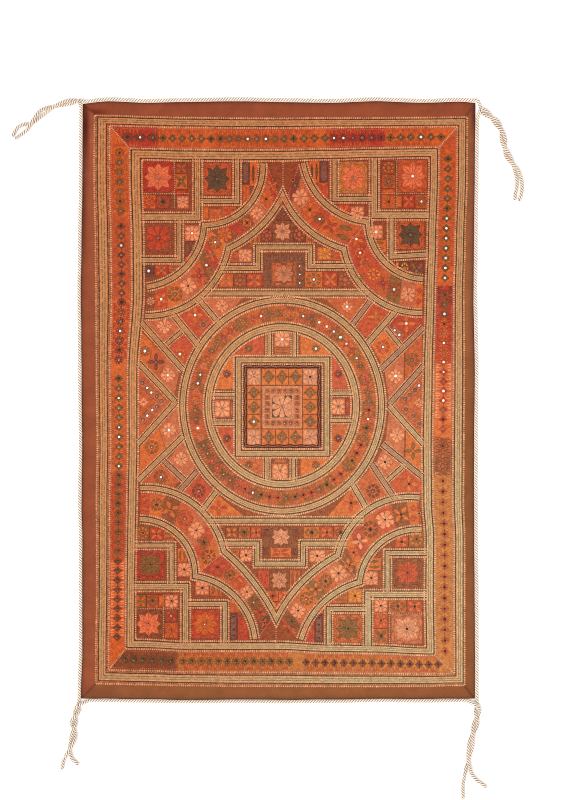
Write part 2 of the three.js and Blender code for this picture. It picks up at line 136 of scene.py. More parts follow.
# %% The routes of the ties, as in the solid model
# x, y, spread, half turns, height of the pair's middle
TIES = {
    "top_left": [
        (-506, 759, 5.3, -0.5, 1), (-530, 756, 4.9, -1, 1), (-563, 747, 4.9, -1.5, 1),
        (-597, 731.5, 6.5, -2, 0.6), (-626, 703, 4.9, -2.5, 1), (-642, 693, 8.5, -3, 0.2),
        (-655, 685, 10.5, -3, 0), (-670.5, 667.5, 5.2, -3, 0),
    ],
    "top_right": [
        (515, 737, 5.3, -0.5, 1), (529, 727, 4.9, -1, 1), (543, 715, 4.9, -1.5, 1), (556, 701, 4.9, -2, 1),
        (566, 684, 4.9, -2.5, 1), (571, 659, 5, -3, 1), (575, 636, 4.9, -3.5, 1), (584, 617, 4.9, -4, 1),
        (597, 595, 4.9, -4.5, 1), (609, 570, 5.5, -5, 0.3), (612.4, 545, 7, -5, 0), (609, 522, 8, -5, 0),
        (606, 508, 5.4, -5, 0),
    ],
    "bottom_left": [
        (-508, -775, 5.3, 0.5, 1), (-511, -788, 5.2, 1, 1), (-515.5, -801.5, 5.2, 1.5, 1),
        (-519, -817, 5.2, 2, 1), (-518.5, -834, 5, 2.5, 1), (-520.5, -856, 5.2, 3, 1),
        (-529.5, -886, 4.9, 3.5, 1), (-532.5, -904, 7, 4, 0.3), (-532.5, -916, 13.5, 4, 0),
        (-528.6, -929.6, 21.4, 4, 0),
    ],
    "bottom_right": [
        (504.5, -775, 5.3, -0.5, 1), (505, -789, 5.2, -1, 1), (503, -807, 5, -1.5, 1),
        (499, -826.5, 4.9, -2, 1), (493.5, -846, 4.9, -2.5, 1), (487.6, -877, 5.2, -3, 1),
        (481.7, -917, 4.9, -3.5, 1), (481.5, -941, 6.5, -4, 0.3), (483.5, -957, 12, -4, 0),
        (489, -976, 22, -4, 0), (498.4, -995.5, 32.6, -4, 0),
    ],
}
# Side, first corner, its strand, how short of the corner the edge starts, and the same for the last corner
CORDS = [
    ("top", "top_left", -1, 14, "top_right", 1, -5),
    ("right", "top_right", -1, 42, "bottom_right", 1, 0),
    ("bottom", "bottom_right", -1, 22, "bottom_left", 1, 22),
    ("left", "bottom_left", -1, 0, "top_left", 1, 12),
]
CORD_R, CORD_FROM_EDGE = 4.5, 4.8
CORD_STEP = 24
# Points on a tie for each point of its table, how many are left out where the edge bends into the tie, and
# how far before the meeting point the cord counts as tie
TIE_PARTS, BEND, CUT_BEFORE_MEETING = 4, 2, 4


def between(p, q, share):
    """The point at a share of the way from p to q: p * (1 - share) + q * share."""
    return np.asarray(p) * (1 - share) + np.asarray(q) * share


def drawn_line(ends, step):
    """Evenly spaced points between two ends."""
    (x0, y0), (x1, y1) = ends
    share = np.linspace(0, 1, math.ceil(math.hypot(x1 - x0, y1 - y0) / step) + 1)[:, None]
    return between((x0, y0), (x1, y1), share)


def smooth_line(points, at):
    """A centripetal Catmull-Rom curve through the points, at the given places: 1.5 is midway between
    points 1 and 2. Between two points it is the cubic whose end slopes weigh the neighbours by the
    square root of their distance."""
    points = np.asarray(points, float)
    full = np.vstack([2 * points[0] - points[1], points, 2 * points[-1] - points[-2]])
    gap = np.sqrt(np.linalg.norm(np.diff(full, axis=0), axis=1))
    gap = np.where(gap < 0.01, 1, gap)
    i = np.clip(np.floor(at).astype(int), 0, len(points) - 2)
    w = (at - i)[:, None]
    before, a, b, after = full[i], full[i + 1], full[i + 2], full[i + 3]
    g0, g1, g2 = gap[i][:, None], gap[i + 1][:, None], gap[i + 2][:, None]
    slope_a = ((a - before) / g0 - (b - before) / (g0 + g1) + (b - a) / g1) * g1
    slope_b = ((b - a) / g1 - (after - a) / (g1 + g2) + (after - b) / g2) * g1
    squared = 3 * (b - a) - 2 * slope_a - slope_b
    cubed = 2 * (a - b) + slope_a + slope_b
    return a + slope_a * w + squared * w**2 + cubed * w**3


def tie_points(rows, strand):
    """One cord of a tie, wound round the pair's middle."""
    rows = np.array(rows, float)
    last = len(rows) - 1
    k = np.concatenate([[0], np.arange(1 + BEND, last * TIE_PARTS + 1)]) / TIE_PARTS
    i = np.minimum(last - 1, k.astype(int))
    spread, turn, up = (rows[i, 2:] + (rows[i + 1, 2:] - rows[i, 2:]) * (k - i)[:, None]).T
    middle = smooth_line(rows[:, :2], k)
    step = 1e-4 * last
    ahead = smooth_line(rows[:, :2], np.minimum(k + step, last))
    along = ahead - smooth_line(rows[:, :2], np.maximum(k - step, 0))
    along /= np.linalg.norm(along, axis=1)[:, None]
    angle = turn * np.pi
    aside = strand * spread * np.cos(angle)
    lift = np.maximum(up, np.abs(np.sin(angle))) + strand * np.sin(angle)
    x = middle[:, 0] - along[:, 1] * aside
    y = middle[:, 1] + along[:, 0] * aside
    return np.stack([x, y, CORD_R + spread * lift], 1)


def edge_points(side, start_short, end_short):
    """Points beside the cloth's edge, from one corner to the next."""
    left, right, top, bottom = EDGE
    x0, y0, x1, y1, ox, oy = {
        "top": (left + start_short, top, right - end_short, top, 0, 1),
        "right": (right, top - start_short, right, bottom + end_short, 1, 0),
        "bottom": (right - start_short, bottom, left + end_short, bottom, 0, -1),
        "left": (left, bottom + start_short, left, top - end_short, -1, 0),
    }[side]
    beside = sewn(drawn_line(((x0, y0), (x1, y1)), CORD_STEP)) + CORD_FROM_EDGE * np.array([ox, oy])
    return np.column_stack([beside, np.full(len(beside), CORD_R)])


def running_length(line):
    """The distance along a line to each of its points."""
    return np.concatenate([[0], np.cumsum(np.linalg.norm(np.diff(line, axis=0), axis=1))])


def respaced(line, step, start=0.0, end=None):
    """Points on a line, evenly spaced about step apart, and how far along each is."""
    along = running_length(line)
    end = along[-1] if end is None else end
    at = np.linspace(start, end, max(2, round((end - start) / step) + 1))
    return np.stack([np.interp(at, along, line[:, k]) for k in range(line.shape[1])], 1), at


# %% [markdown]
# ## Meshes from arrays
# A piece of embroidery is hundreds of small shapes. Each shape is added to a Work as arrays of points and
# faces, with its dye (a colour per point) and its lay (thread coordinates in metres, which the materials
# use as a UV map would be used). When all is added, the Work becomes one mesh.

# %% Dyes, and how the light has faded them
STUDIO = 1.28


def linear(r, g, b):
    """A colour as it looks in the picture, 0 to 255, turned to a shader's linear values, less the studio's
    light, which is a little more than a white thing needs to look white."""
    c = np.array([r, g, b]) / 255
    return np.where(c <= 0.04045, c / 12.92, ((c + 0.055) / 1.055) ** 2.4) / STUDIO


DYES = {
    "orange": linear(212, 100, 40), "red": linear(192, 66, 36), "crimson": linear(180, 56, 38),
    "rust": linear(194, 86, 42), "brown": linear(142, 76, 44), "olive": linear(140, 92, 48),
    "moss": linear(104, 76, 52), "purple": linear(130, 62, 48), "lilac": linear(176, 112, 104),
    "salmon": linear(238, 146, 100), "yellow": linear(228, 130, 44), "maroon": linear(74, 8, 10),
    "clay": linear(196, 100, 62), "pink": linear(226, 146, 116), "bead": linear(246, 180, 132),
    # under: the ground cloth's dye, darkened as painted shade in the gaps between stitches
    "dark line": linear(82, 54, 34), "under": linear(150, 70, 38), "green": linear(120, 88, 52),
    "cream": linear(255, 248, 234) * 1.15, "cord shadow": linear(204, 158, 124),
    "bright": linear(250, 250, 250), "dim": linear(150, 104, 94), "dark": linear(56, 26, 20),
    # bright, dim and dark are for mirror glass: painted reflections
    "plum": linear(140, 84, 68), "tan": linear(206, 144, 92), "pale tan": linear(206, 176, 132),
    "gold": linear(196, 116, 54), "dusty": linear(204, 120, 80), "rose": linear(222, 140, 100),
    "coral": linear(232, 118, 74),
}
FADED = linear(228, 172, 122)
FRESH, WORN = np.array([0.86, 0.68, 0.62]), 0.84
# Where the light has been strongest, how far it reached, the lift at its middle, and the brightest dye's
# linear value from which on all of that lift counts
FADE_PLACES, FADE_REACH, FADE_LIFT, FULL_LIFT_AT = ((10, -13), (380, -480)), 300, 0.14, 0.35


def faded(dye, x, y):
    """Light has faded the middle and the lower right part; elsewhere the dyes are deeper and redder. Each
    faded part is a bell curve of the distance from its middle: exp(-distance^2 / (2 * reach^2))."""
    bells = [np.exp(-((x - px) ** 2 + (y - py) ** 2) / (2 * FADE_REACH**2)) for px, py in FADE_PLACES]
    f = np.minimum(1, bells[0] + bells[1])[:, None]
    lift = FADE_LIFT * f * np.clip(dye.max(1)[:, None] / FULL_LIFT_AT, 0, 1)
    return dye * (FRESH * (1 - f) + WORN * f) + FADED * lift


def ground(x, y):
    """The height of the cloth's face: low waves of a few centimetres, as old cloth has."""
    slow = np.sin(x / 61 + 1.3 * np.sin(y / 97)) + np.sin(y / 53 + 1.1 * np.sin(x / 83) + 2)
    quick = np.sin(x / 17 + y / 29) * np.sin(y / 19 - x / 41)
    return 2.1 + 0.2 * slow + 0.08 * quick


class Work:
    """The arrays of one piece while it is being made."""

    def __init__(self):
        self.points, self.dyes, self.lays, self.faces, self.count = [], [], [], [], 0

    def add(self, points, faces, dye, lay=None):
        """Adds points (in mm) and arrays of triangles or quads that index them."""
        points = np.asarray(points, float)
        self.points.append(points)
        self.dyes.append(np.broadcast_to(np.asarray(dye, float), points.shape))
        self.lays.append(points[:, :2] * MM if lay is None else lay)
        self.faces += [np.asarray(f, int) + self.count for f in faces if len(f)]
        self.count += len(points)

    def repeat(self, shape, faces, matrices, places, dyes):
        """Adds a small shape many times. Each copy is turned and sized by its 2 by 2 matrix, set down at
        its place (x, y) on the cloth, and keeps its own heights. dyes is for each copy and each point."""
        n, k = len(places), len(shape)
        flat = np.einsum("nij,kj->nki", matrices, shape[:, :2]) + places[:, None, :]
        z = ground(places[:, 0], places[:, 1])[:, None] + shape[None, :, 2]
        points = np.concatenate([flat, z[..., None]], 2).reshape(-1, 3)
        shift = (np.arange(n) * k)[:, None, None]
        many = [(f[None] + shift).reshape(-1, f.shape[1]) for f in faces]
        sizes = np.linalg.norm(matrices, axis=1)[:, None]
        lay = (shape[None, :, :2] * sizes * MM).reshape(-1, 2)
        self.add(points, many, np.broadcast_to(dyes, (n, k, 3)).reshape(-1, 3), lay)


SHARP_DEGREES = 50


def finish_piece(name, work, material, stands_for=(), aged=True):
    """Turns a Work into a mesh object at the origin, in metres, riding on the panel."""
    points = np.concatenate(work.points)
    mesh = bpy.data.meshes.new(name)
    loops = np.concatenate([f.ravel() for f in work.faces])
    sizes = np.concatenate([np.full(len(f), f.shape[1]) for f in work.faces])
    mesh.vertices.add(len(points))
    mesh.vertices.foreach_set("co", (points * MM).astype(np.float32).ravel())
    mesh.loops.add(len(loops))
    mesh.loops.foreach_set("vertex_index", loops.astype(np.int32))
    mesh.polygons.add(len(sizes))
    mesh.polygons.foreach_set("loop_start", (np.cumsum(sizes) - sizes).astype(np.int32))
    mesh.update(calc_edges=True)
    dye = mesh.attributes.new("dye", "FLOAT_COLOR", "POINT")
    colours = np.concatenate(work.dyes)
    if aged:
        colours = faded(colours, points[:, 0], points[:, 1])
    dye.data.foreach_set("color", np.column_stack([colours, np.ones(len(points))]).astype(np.float32).ravel())
    lay = mesh.uv_layers.new(name="lay")
    lay.data.foreach_set("uv", np.concatenate(work.lays)[loops].astype(np.float32).ravel())
    mesh.shade_smooth()
    mesh.set_sharp_from_angle(angle=math.radians(SHARP_DEGREES))
    mesh.materials.append(material)
    obj = bpy.data.objects.new(name, mesh)
    bpy.context.scene.collection.objects.link(obj)
    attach(obj, "root")
    if stands_for:
        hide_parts(*stands_for)
    mesh.calc_loop_triangles()
    print(name, len(mesh.loop_triangles), "triangles")
    return obj


def outwards(points, faces):
    """The faces of a closed shape, turned over if its signed volume is negative."""
    volume = 0
    for f in faces:
        if len(f):
            p = points[f]
            for k in range(1, f.shape[1] - 1):
                volume += np.einsum("ij,ij->", p[:, 0], np.cross(p[:, k], p[:, k + 1]))
    return [f[:, ::-1] for f in faces] if volume < 0 else faces


def tube_faces(n, k, capped=True):
    """The faces of a tube of n rings of k points each, with a cap on both ends."""
    index = np.arange(n * k).reshape(n, k)
    a, b = index[:-1], index[1:]
    faces = [np.stack([a, b, np.roll(b, -1, 1), np.roll(a, -1, 1)], -1).reshape(-1, 4)]
    return faces + [index[0][None], index[-1][None, ::-1]] if capped else faces


def mound_faces(points, k):
    """The faces of a closed mound: rings of k points from its foot up, and one last point on its top."""
    i = np.arange(k)
    j = np.roll(i, -1)
    rings = len(points) // k
    quads = np.concatenate([np.stack([i, j, j + k, i + k], 1) + k * row for row in range(rings - 1)])
    top = np.stack([i, j, np.full(k, k)], 1) + k * (rings - 1)
    return outwards(points, [quads, top, i[None, ::-1]])


# %% [markdown]
# ## Materials
# Every thread here is cotton, so the finishes share one recipe: the dye, broken up by two sizes of noise,
# fine bumps for the threads, a high roughness and a little sheen. Only the mirrors differ.

# %% The cotton recipe
def nodes_of(material):
    """The node tree of a new material, which holds only its shader and output, and that shader."""
    material.use_nodes = True
    tree = material.node_tree
    shader = next(n for n in tree.nodes if n.type == "BSDF_PRINCIPLED")
    return tree, shader


def set_sockets(shader, **values):
    """Sets a shader's own sockets, each named with its blanks as underscores."""
    for name, value in values.items():
        shader.inputs[name.replace("_", " ")].default_value = value


def add_node(tree, kind, **settings):
    """A new node with its settings; a setting that is a socket's name goes to that input."""
    node = tree.nodes.new(kind)
    for key, value in settings.items():
        if hasattr(node, key):
            setattr(node, key, value)
        else:
            node.inputs[key.replace("_", " ")].default_value = value
    return node


def noise_of(tree, source, size_mm, detail=2.0, rough=0.5):
    """Noise whose blots are about size_mm across, on coordinates in metres."""
    noise = add_node(tree, "ShaderNodeTexNoise", Scale=1000 / size_mm, Detail=detail, Roughness=rough)
    tree.links.new(source, noise.inputs["Vector"])
    return noise.outputs["Fac"]


def ranged(tree, value, low, high):
    """A noise value of 0.3 to 0.7 spread out to low to high."""
    spread = add_node(tree, "ShaderNodeMapRange")
    tree.links.new(value, spread.inputs["Value"])
    for socket, number in (("From Min", 0.3), ("From Max", 0.7), ("To Min", low), ("To Max", high)):
        spread.inputs[socket].default_value = number
    return spread.outputs["Result"]


def worked_out(tree, operation, a, b):
    """Two values multiplied or added."""
    node = add_node(tree, "ShaderNodeMath", operation=operation)
    tree.links.new(a, node.inputs[0])
    tree.links.new(b, node.inputs[1])
    return node.outputs[0]


TINT_MM = 7


def cotton(name, blots, thread_mm, thread_depth, lengthwise=6.0, weave=False, tint=None):
    """Dyed cotton. blots: size, darkest and lightest of each noise. Threads lie along the lay's first
    coordinate, thread_mm apart and lengthwise times as long; a weave adds the second set across them. A
    tint is a second dye that comes and goes in patches."""
    material = bpy.data.materials.new(name)
    tree, shader = nodes_of(material)
    place = add_node(tree, "ShaderNodeTexCoord").outputs["Object"]
    lay = add_node(tree, "ShaderNodeUVMap", uv_map="lay").outputs["UV"]
    dye = add_node(tree, "ShaderNodeAttribute", attribute_name="dye").outputs["Color"]
    shade = None
    for size, low, high in blots:
        value = ranged(tree, noise_of(tree, place, size), low, high)
        shade = value if shade is None else worked_out(tree, "MULTIPLY", shade, value)
    if tint is not None:
        mix = add_node(tree, "ShaderNodeMix", data_type="RGBA")
        tree.links.new(ranged(tree, noise_of(tree, place, TINT_MM, 3.0), -0.5, 0.9), mix.inputs["Factor"])
        tree.links.new(dye, mix.inputs["A"])
        mix.inputs["B"].default_value = (*tint, 1)
        dye = mix.outputs["Result"]
    coloured = add_node(tree, "ShaderNodeVectorMath", operation="SCALE")
    tree.links.new(dye, coloured.inputs[0])
    tree.links.new(shade, coloured.inputs["Scale"])
    tree.links.new(coloured.outputs[0], shader.inputs["Base Color"])
    heights = None
    turned = [(lengthwise, 1.0)] + ([(1.0, lengthwise)] if weave else [])
    for stretch_u, stretch_v in turned:
        squeeze = add_node(tree, "ShaderNodeMapping")
        tree.links.new(lay, squeeze.inputs["Vector"])
        squeeze.inputs["Scale"].default_value = (1 / stretch_u, 1 / stretch_v, 1)
        value = noise_of(tree, squeeze.outputs["Vector"], thread_mm, 1.0)
        heights = value if heights is None else worked_out(tree, "ADD", heights, value)
    bump = add_node(tree, "ShaderNodeBump", Strength=1.0, Distance=thread_depth * MM)
    tree.links.new(heights, bump.inputs["Height"])
    tree.links.new(bump.outputs["Normal"], shader.inputs["Normal"])
    set_sockets(shader, Roughness=0.88, Sheen_Weight=0.08, Specular_IOR_Level=0.12)
    return material


PLAIN_COTTON = cotton("plain brown cotton", blots=((40, 0.9, 1.1), (5, 0.94, 1.06)), thread_mm=0.7,
                      thread_depth=0.12, lengthwise=4.0, weave=True)
EMBROIDERY = cotton("embroidered cotton", blots=((7, 0.74, 1.22), (2.4, 0.76, 1.25)), thread_mm=1.2,
                    thread_depth=0.35)
TAPE = cotton("couched tape", blots=((9, 0.86, 1.12), (2.6, 0.7, 1.28)), thread_mm=2.2, thread_depth=0.5,
              lengthwise=3.0, tint=linear(190, 136, 92))
DARK_THREAD = cotton("dark thread", blots=((7, 0.6, 1.5), (2.4, 0.6, 1.5)), thread_mm=1.0, thread_depth=0.4)
BEAD_THREAD = cotton("salmon thread", blots=((22, 0.84, 1.12), (4, 0.8, 1.2)), thread_mm=0.8,
                     thread_depth=0.3)
ROPE = cotton("twisted cream cotton", blots=((30, 0.93, 1.05), (2, 0.9, 1.08)), thread_mm=0.6,
              thread_depth=0.3, lengthwise=10.0)

# %% The mirrors
MIRROR = bpy.data.materials.new("mirror glass")
mirror_tree, mirror_shader = nodes_of(MIRROR)
# The glass's colour is its dye, which holds a painted reflection: bright, dim or dark for each mirror
mirror_dye = add_node(mirror_tree, "ShaderNodeAttribute", attribute_name="dye")
mirror_tree.links.new(mirror_dye.outputs["Color"], mirror_shader.inputs["Base Color"])
set_sockets(mirror_shader, Metallic=0.65, Roughness=0.22, Coat_Weight=0.1, Coat_Roughness=0.05)
print("materials:", len(bpy.data.materials))

# %% [markdown]
# ## Twisted cord
# A three-strand rope is three round strands on helices about one middle line, a third of a turn apart.
# The strand's own rings turn with it. Points that face the rope's middle get a painted shade colour, the
# shade of the grooves, so that the strands stay apart to the eye.

# %% Rope from a middle line
LAY_LENGTH = 21.0
STRAND_OUT, STRAND_R = 2.6, 2.1
ROPE_STEP = 2.0
# How thick a strand's last ring is where it is cut, next to the others
CUT_END = 0.75
# Where the points of a strand's ring stand, in degrees from its outermost one, and how free they are of the
# painted groove shade
STRAND_RING = np.radians([0, 32, 56, 80, 130, 180, 230, 280, 304, 328])
STRAND_UNSHADED = np.array([1, 0.85, 0.3, 0, 0, 0, 0, 0, 0.3, 0.85])


def unit(vectors):
    """Rows of vectors, each made one long."""
    return vectors / np.linalg.norm(vectors, axis=1)[:, None]


def rope(work, line, along, dye_top, groove_shade):
    """Three strands wound about a line; along is the distance at each of its points."""
    tangent = unit(np.gradient(line, axis=0))
    side = unit(np.cross(tangent, [0, 0, 1]))
    up = np.cross(side, tangent)
    ring = STRAND_RING
    for strand in range(3):
        angle = 2 * np.pi * along / LAY_LENGTH + strand * 2 * np.pi / 3
        out = side * np.cos(angle)[:, None] + up * np.sin(angle)[:, None]
        middle = line + out * STRAND_OUT
        own = unit(np.gradient(middle, axis=0))
        outward = unit(out - own * np.sum(out * own, axis=1)[:, None])
        across = np.cross(own, outward)
        radius = np.full(len(line), STRAND_R)
        radius[[0, -1]] *= CUT_END
        points = middle[:, None] + radius[:, None, None] * (
            outward[:, None] * np.cos(ring)[None, :, None] + across[:, None] * np.sin(ring)[None, :, None])
        n, k = len(line), len(ring)
        # Painted groove shade: points that face the rope's middle take the shade dye
        shade = STRAND_UNSHADED[None, :, None] * np.ones((n, 1, 1))
        dye = (groove_shade * (1 - shade) + dye_top * shade).reshape(-1, 3)
        lay = np.stack(np.broadcast_arrays(along[:, None] * MM, ring[None] * STRAND_R * MM), -1)
        flat = points.reshape(-1, 3)
        work.add(flat, outwards(flat, tube_faces(n, k)), dye, lay.reshape(-1, 2))


# %% The four cords, cut where their ties begin
# Points on the curve for each point of a route, the gap at a cut, and the diameter with its fuzz, in metres
PER_POINT, CUT_GAP, CORD_WIDE = 12, 0.1, 0.0095
for side, first_corner, first_strand, first_short, last_corner, last_strand, last_short in CORDS:
    start = tie_points(TIES[first_corner], first_strand)[::-1]
    end = tie_points(TIES[last_corner], last_strand)
    points = np.concatenate([start, edge_points(side, first_short, last_short), end])
    whole = smooth_line(points, np.arange((len(points) - 1) * PER_POINT + 1) / PER_POINT)
    lengths = running_length(whole)
    first = lengths[(len(start) - 1) * PER_POINT] + CUT_BEFORE_MEETING
    last = lengths[(len(points) - len(end)) * PER_POINT] - CUT_BEFORE_MEETING
    whole[:, 2] = np.maximum(whole[:, 2], CORD_R)
    for begins, ends, node in (
        (0, first - CUT_GAP, f"tie_{first_corner}_from_{side}"),
        (first + CUT_GAP, last - CUT_GAP, f"edge_cord_{side}"),
        (last + CUT_GAP, lengths[-1], f"tie_{last_corner}_from_{side}"),
    ):
        line, along = respaced(whole, ROPE_STEP, begins, ends)
        work = Work()
        is_tie = node.startswith("tie")
        cream = DYES["cream"] * (0.9 if is_tie else 1.0)
        rope(work, line, along, cream, DYES["cord shadow"])
        name = node.replace("edge_cord", "rope_edge").replace("tie_", "rope_tie_")
        piece = finish_piece(name, work, ROPE, [node], aged=False)
        if is_tie:
            print(node, "is", round(ends - begins), "mm long")

# %% [markdown]
# ## The plain cloths underneath
# A cloth is a grid of points between two lines, with its face following the low waves of the ground. Its
# underside lies flat, so it needs only one row of long faces, and the two are closed along their edges.

# %% Cloth between two lines
BACK_Z = 0.05


def cloth(work, flat, top, dye):
    """A closed slab: flat is an n by m grid of places, top the height of the face at each."""
    n, m = flat.shape[:2]
    face = np.concatenate([flat, top[..., None]], 2).reshape(-1, 3)
    rims = flat[:, [0, -1]].reshape(-1, 2)
    back = np.column_stack([rims, np.full(len(rims), BACK_Z)])
    index = np.arange(n * m).reshape(n, m)
    under = n * m + np.arange(2 * n).reshape(n, 2)

    def quads(p, q):
        """Faces between two rows of points that run side by side."""
        return np.stack([p[:-1], p[1:], q[1:], q[:-1]], 1)

    grid = np.stack([index[:-1, :-1], index[1:, :-1], index[1:, 1:], index[:-1, 1:]], -1).reshape(-1, 4)
    sides = np.concatenate([quads(under[:, 0], index[:, 0]), quads(index[:, -1], under[:, 1])])
    ends = [np.concatenate([index[0], under[0, ::-1]])[None],
            np.concatenate([index[-1, ::-1], under[-1]])[None]]
    points = np.concatenate([face, back])
    dyes = np.broadcast_to(dye, (n, m, 3)).reshape(-1, 3)
    dyes = np.concatenate([dyes, np.broadcast_to(dyes[0], (2 * n, 3))])
    faces = [grid, sides, quads(under[:, 1], under[:, 0]), *ends]
    work.add(points, outwards(points, faces), dyes)


def corners_of(rect):
    """The corners of a frame: left, right, top and bottom given."""
    left, right, top, bottom = rect
    return {"top": ((left, top), (right, top)), "right": ((right, top), (right, bottom)),
            "bottom": ((right, bottom), (left, bottom)), "left": ((left, bottom), (left, top))}


def frame_side(outer, inner, side, step=5, as_sewn=True):
    """The two long edges of one mitred side, with as many points each."""
    a = drawn_line(corners_of(outer)[side], step)
    b = between(*corners_of(inner)[side], np.linspace(0, 1, len(a))[:, None])
    return (sewn(a), sewn(b)) if as_sewn else (a, b)


def side_width(outer, inner, side):
    """How wide one side of a frame is."""
    return abs(outer[FRAME_ORDER.index(side)] - inner[FRAME_ORDER.index(side)])


def midway(outer, inner):
    """The frame midway between two frames."""
    return tuple((a + b) / 2 for a, b in zip(outer, inner))


SIDES = ("top", "right", "bottom", "left")
FRAME_ORDER = ("left", "right", "top", "bottom")
BAND_OUTSIDE = midway(OUTER_BRAID_OUT, OUTER_BRAID_IN)
FIELD_EDGE = midway(INNER_BRAID_OUT, INNER_BRAID_IN)


def grid_between(a, b, columns):
    """A grid from line a to line b, with columns at the given shares."""
    return between(a[:, None], b[:, None], np.asarray(columns)[None, :, None])


# %% [markdown]
# ## The brown border
# Plain cotton, folded under at its outer edge, where the cord is sewn on, and gathered a little by the
# stitches of the braid. So its face dips at its outer edge and at the mitres, and small puckers fade
# out from the braid's seam.

# %% The border's four strips
BORDER_DYES = {"top": linear(146, 70, 42), "right": linear(140, 82, 46), "bottom": linear(142, 82, 46),
               "left": linear(150, 76, 46)}
# A stripe of the old selvedge shows at the top right: its dye, how wide it is and where it ends
EDGE_STRIPE, STRIPE_WIDE, STRIPE_FROM_Y = linear(146, 70, 58), 7.5, 100
BORDER_COLUMNS = np.array([0, 0.02, 0.06, 0.12, 0.2, 0.3, 0.42, 0.54, 0.66, 0.8, 1])
# Painted shade and paler parts: darker, redder parts, most of them painted shade along the outer edge beside
# the cord and at the top left corner, and lighter parts; side, middle and reach in squares, colour and
# strength
SHADE_AND_PALE_PATCHES = [
    ("left", 85.5, 128, 4, 36, linear(84, 24, 18), 1.0), ("left", 84, 200, 2.4, 60, linear(100, 40, 26), 0.7),
    ("left", 92, 150, 2.6, 40, linear(176, 88, 56), 0.6), ("top", 96, 112, 14, 3, linear(104, 30, 20), 0.9),
    ("top", 180, 102, 60, 2, linear(128, 50, 30), 0.5),
    ("right", 474, 116, 3, 14, linear(96, 34, 30), 0.9), ("right", 467, 300, 3, 80, linear(160, 98, 56), 0.5),
    ("bottom", 300, 692, 90, 5, linear(150, 92, 50), 0.5),
    ("bottom", 100, 692, 16, 6, linear(124, 60, 40), 0.5),
]


def squares(points):
    """Places on the drawing, counted in squares right and down from its corner, to millimetres."""
    return (np.asarray(points, float) - SHEET_MIDDLE) * [SQUARE_MM, -SQUARE_MM]


def in_squares(points):
    """Places in millimetres, back to squares of the drawing."""
    return points / [SQUARE_MM, -SQUARE_MM] + SHEET_MIDDLE


for side in SIDES:
    a, b = frame_side(EDGE, BAND_OUTSIDE, side, 4)
    columns = BORDER_COLUMNS
    flat = grid_between(a, b, columns)
    along = running_length(a)[:, None]
    width = np.linalg.norm(b - a, axis=1)[:, None]
    from_edge = columns[None] * width
    from_end = np.minimum(along, along[-1] - along) + 0 * from_edge
    puckers = 0.28 * np.sin(along / 5.5 + 3 * np.sin(along / 47)) * columns[None] ** 2
    folds = 0.5 * np.sin(along / 33 + from_edge / 9 + 2 * np.sin(along / 71)) * (1 - columns[None])
    dip = 1.3 * np.exp(-from_edge / 1.6) + 0.9 * np.exp(-from_end / 2.5)
    top = ground(flat[..., 0], flat[..., 1]) + puckers + folds - dip
    on_stripe = (side == "right") & (from_edge < STRIPE_WIDE)
    stripe = on_stripe[..., None] * (flat[..., 1:] > STRIPE_FROM_Y) * 1.0
    dye = BORDER_DYES[side] * (1 - stripe) + EDGE_STRIPE * stripe
    # Painted shadow: darker beside the cord along the outer edge and near the mitres
    darker = 1 - 0.55 * np.exp(-from_edge / 2.6)[..., None] - 0.4 * np.exp(-from_end / 4)[..., None]
    darker = np.clip(darker, 0.12, 1) * (1 - 0.2 * np.exp(-from_edge / 9)[..., None])
    # Blends in the painted shade beside the cord and at the top left corner, and the lighter parts
    for side_name, x, y, reach_x, reach_y, patch_tint, strength in SHADE_AND_PALE_PATCHES:
        if side_name == side:
            off = (flat - squares((x, y))) / (np.array([reach_x, reach_y]) * SQUARE_MM)
            much = strength * np.exp(-np.sum(off**2, -1))[..., None]
            dye = dye * (1 - much) + patch_tint * much
    work = Work()
    cloth(work, flat, top, dye * darker)
    name, node = f"border_cloth_{side}", f"border_{side}"
    piece = finish_piece(name, work, PLAIN_COTTON, [node], aged=False)

# %% [markdown]
# ## The ground of the mirror bands and of the field
# Under the embroidery lies a plain cloth. On the bands it shows between the motifs, in a few lengths of
# different dye that are joined end to end, so its dye changes at set places along each band.

# %% Band grounds
# Where along each side a new length of cloth starts (across or down, in squares of the drawing), its dye
BAND_LENGTHS = {
    "top": [(0, "crimson"), (158, "orange"), (215, "rust"), (290, "orange"), (330, "crimson"),
            (385, "orange")],
    "right": [(0, "rust"), (150, "orange"), (285.5, "crimson"), (318, "red"), (365, "orange"), (438, "brown"),
              (475, "gold")],
    "bottom": [(0, "brown"), (178, "gold"), (296, "gold")],
    "left": [(0, "orange"), (216, "rust"), (300, "orange"), (369, "orange"), (470, "rust"), (560, "orange")],
}
for side in SIDES:
    a, b = frame_side(BAND_OUTSIDE, FIELD_EDGE, side)
    flat = grid_between(a, b, np.linspace(0, 1, 13))
    drawn = in_squares(flat)[..., 0 if side in ("top", "bottom") else 1]
    dye = np.zeros((*flat.shape[:2], 3))
    for start, name in BAND_LENGTHS[side]:
        dye[drawn >= start] = DYES[name]
    work = Work()
    cloth(work, flat, ground(flat[..., 0], flat[..., 1]), dye)
    piece = finish_piece(f"band_cloth_{side}", work, EMBROIDERY, [f"mirror_band_{side}"])

# %% Field cloth
left, right, top_edge, bottom_edge = FIELD_EDGE
FIELD_ROWS, FIELD_COLUMNS, UNDER_PATCHES = 132, 80, 0.7
ys = np.linspace(bottom_edge, top_edge, FIELD_ROWS)
xs = np.linspace(left, right, FIELD_COLUMNS)
flat = sewn(np.stack(np.meshgrid(xs, ys), -1))
work = Work()
cloth(work, flat, ground(flat[..., 0], flat[..., 1]) - UNDER_PATCHES, DYES["under"])
field_cloth = finish_piece("field_cloth", work, EMBROIDERY, ["patchwork_field"])

# %% [markdown]
# ## Braids
# A braid here is a flat tape, couched down between two dark cords, with a row of fat salmon stitches
# outside each. The tape and the cords are profiles carried along a strip between two lines, and the
# stitches are set along lines in the strip.

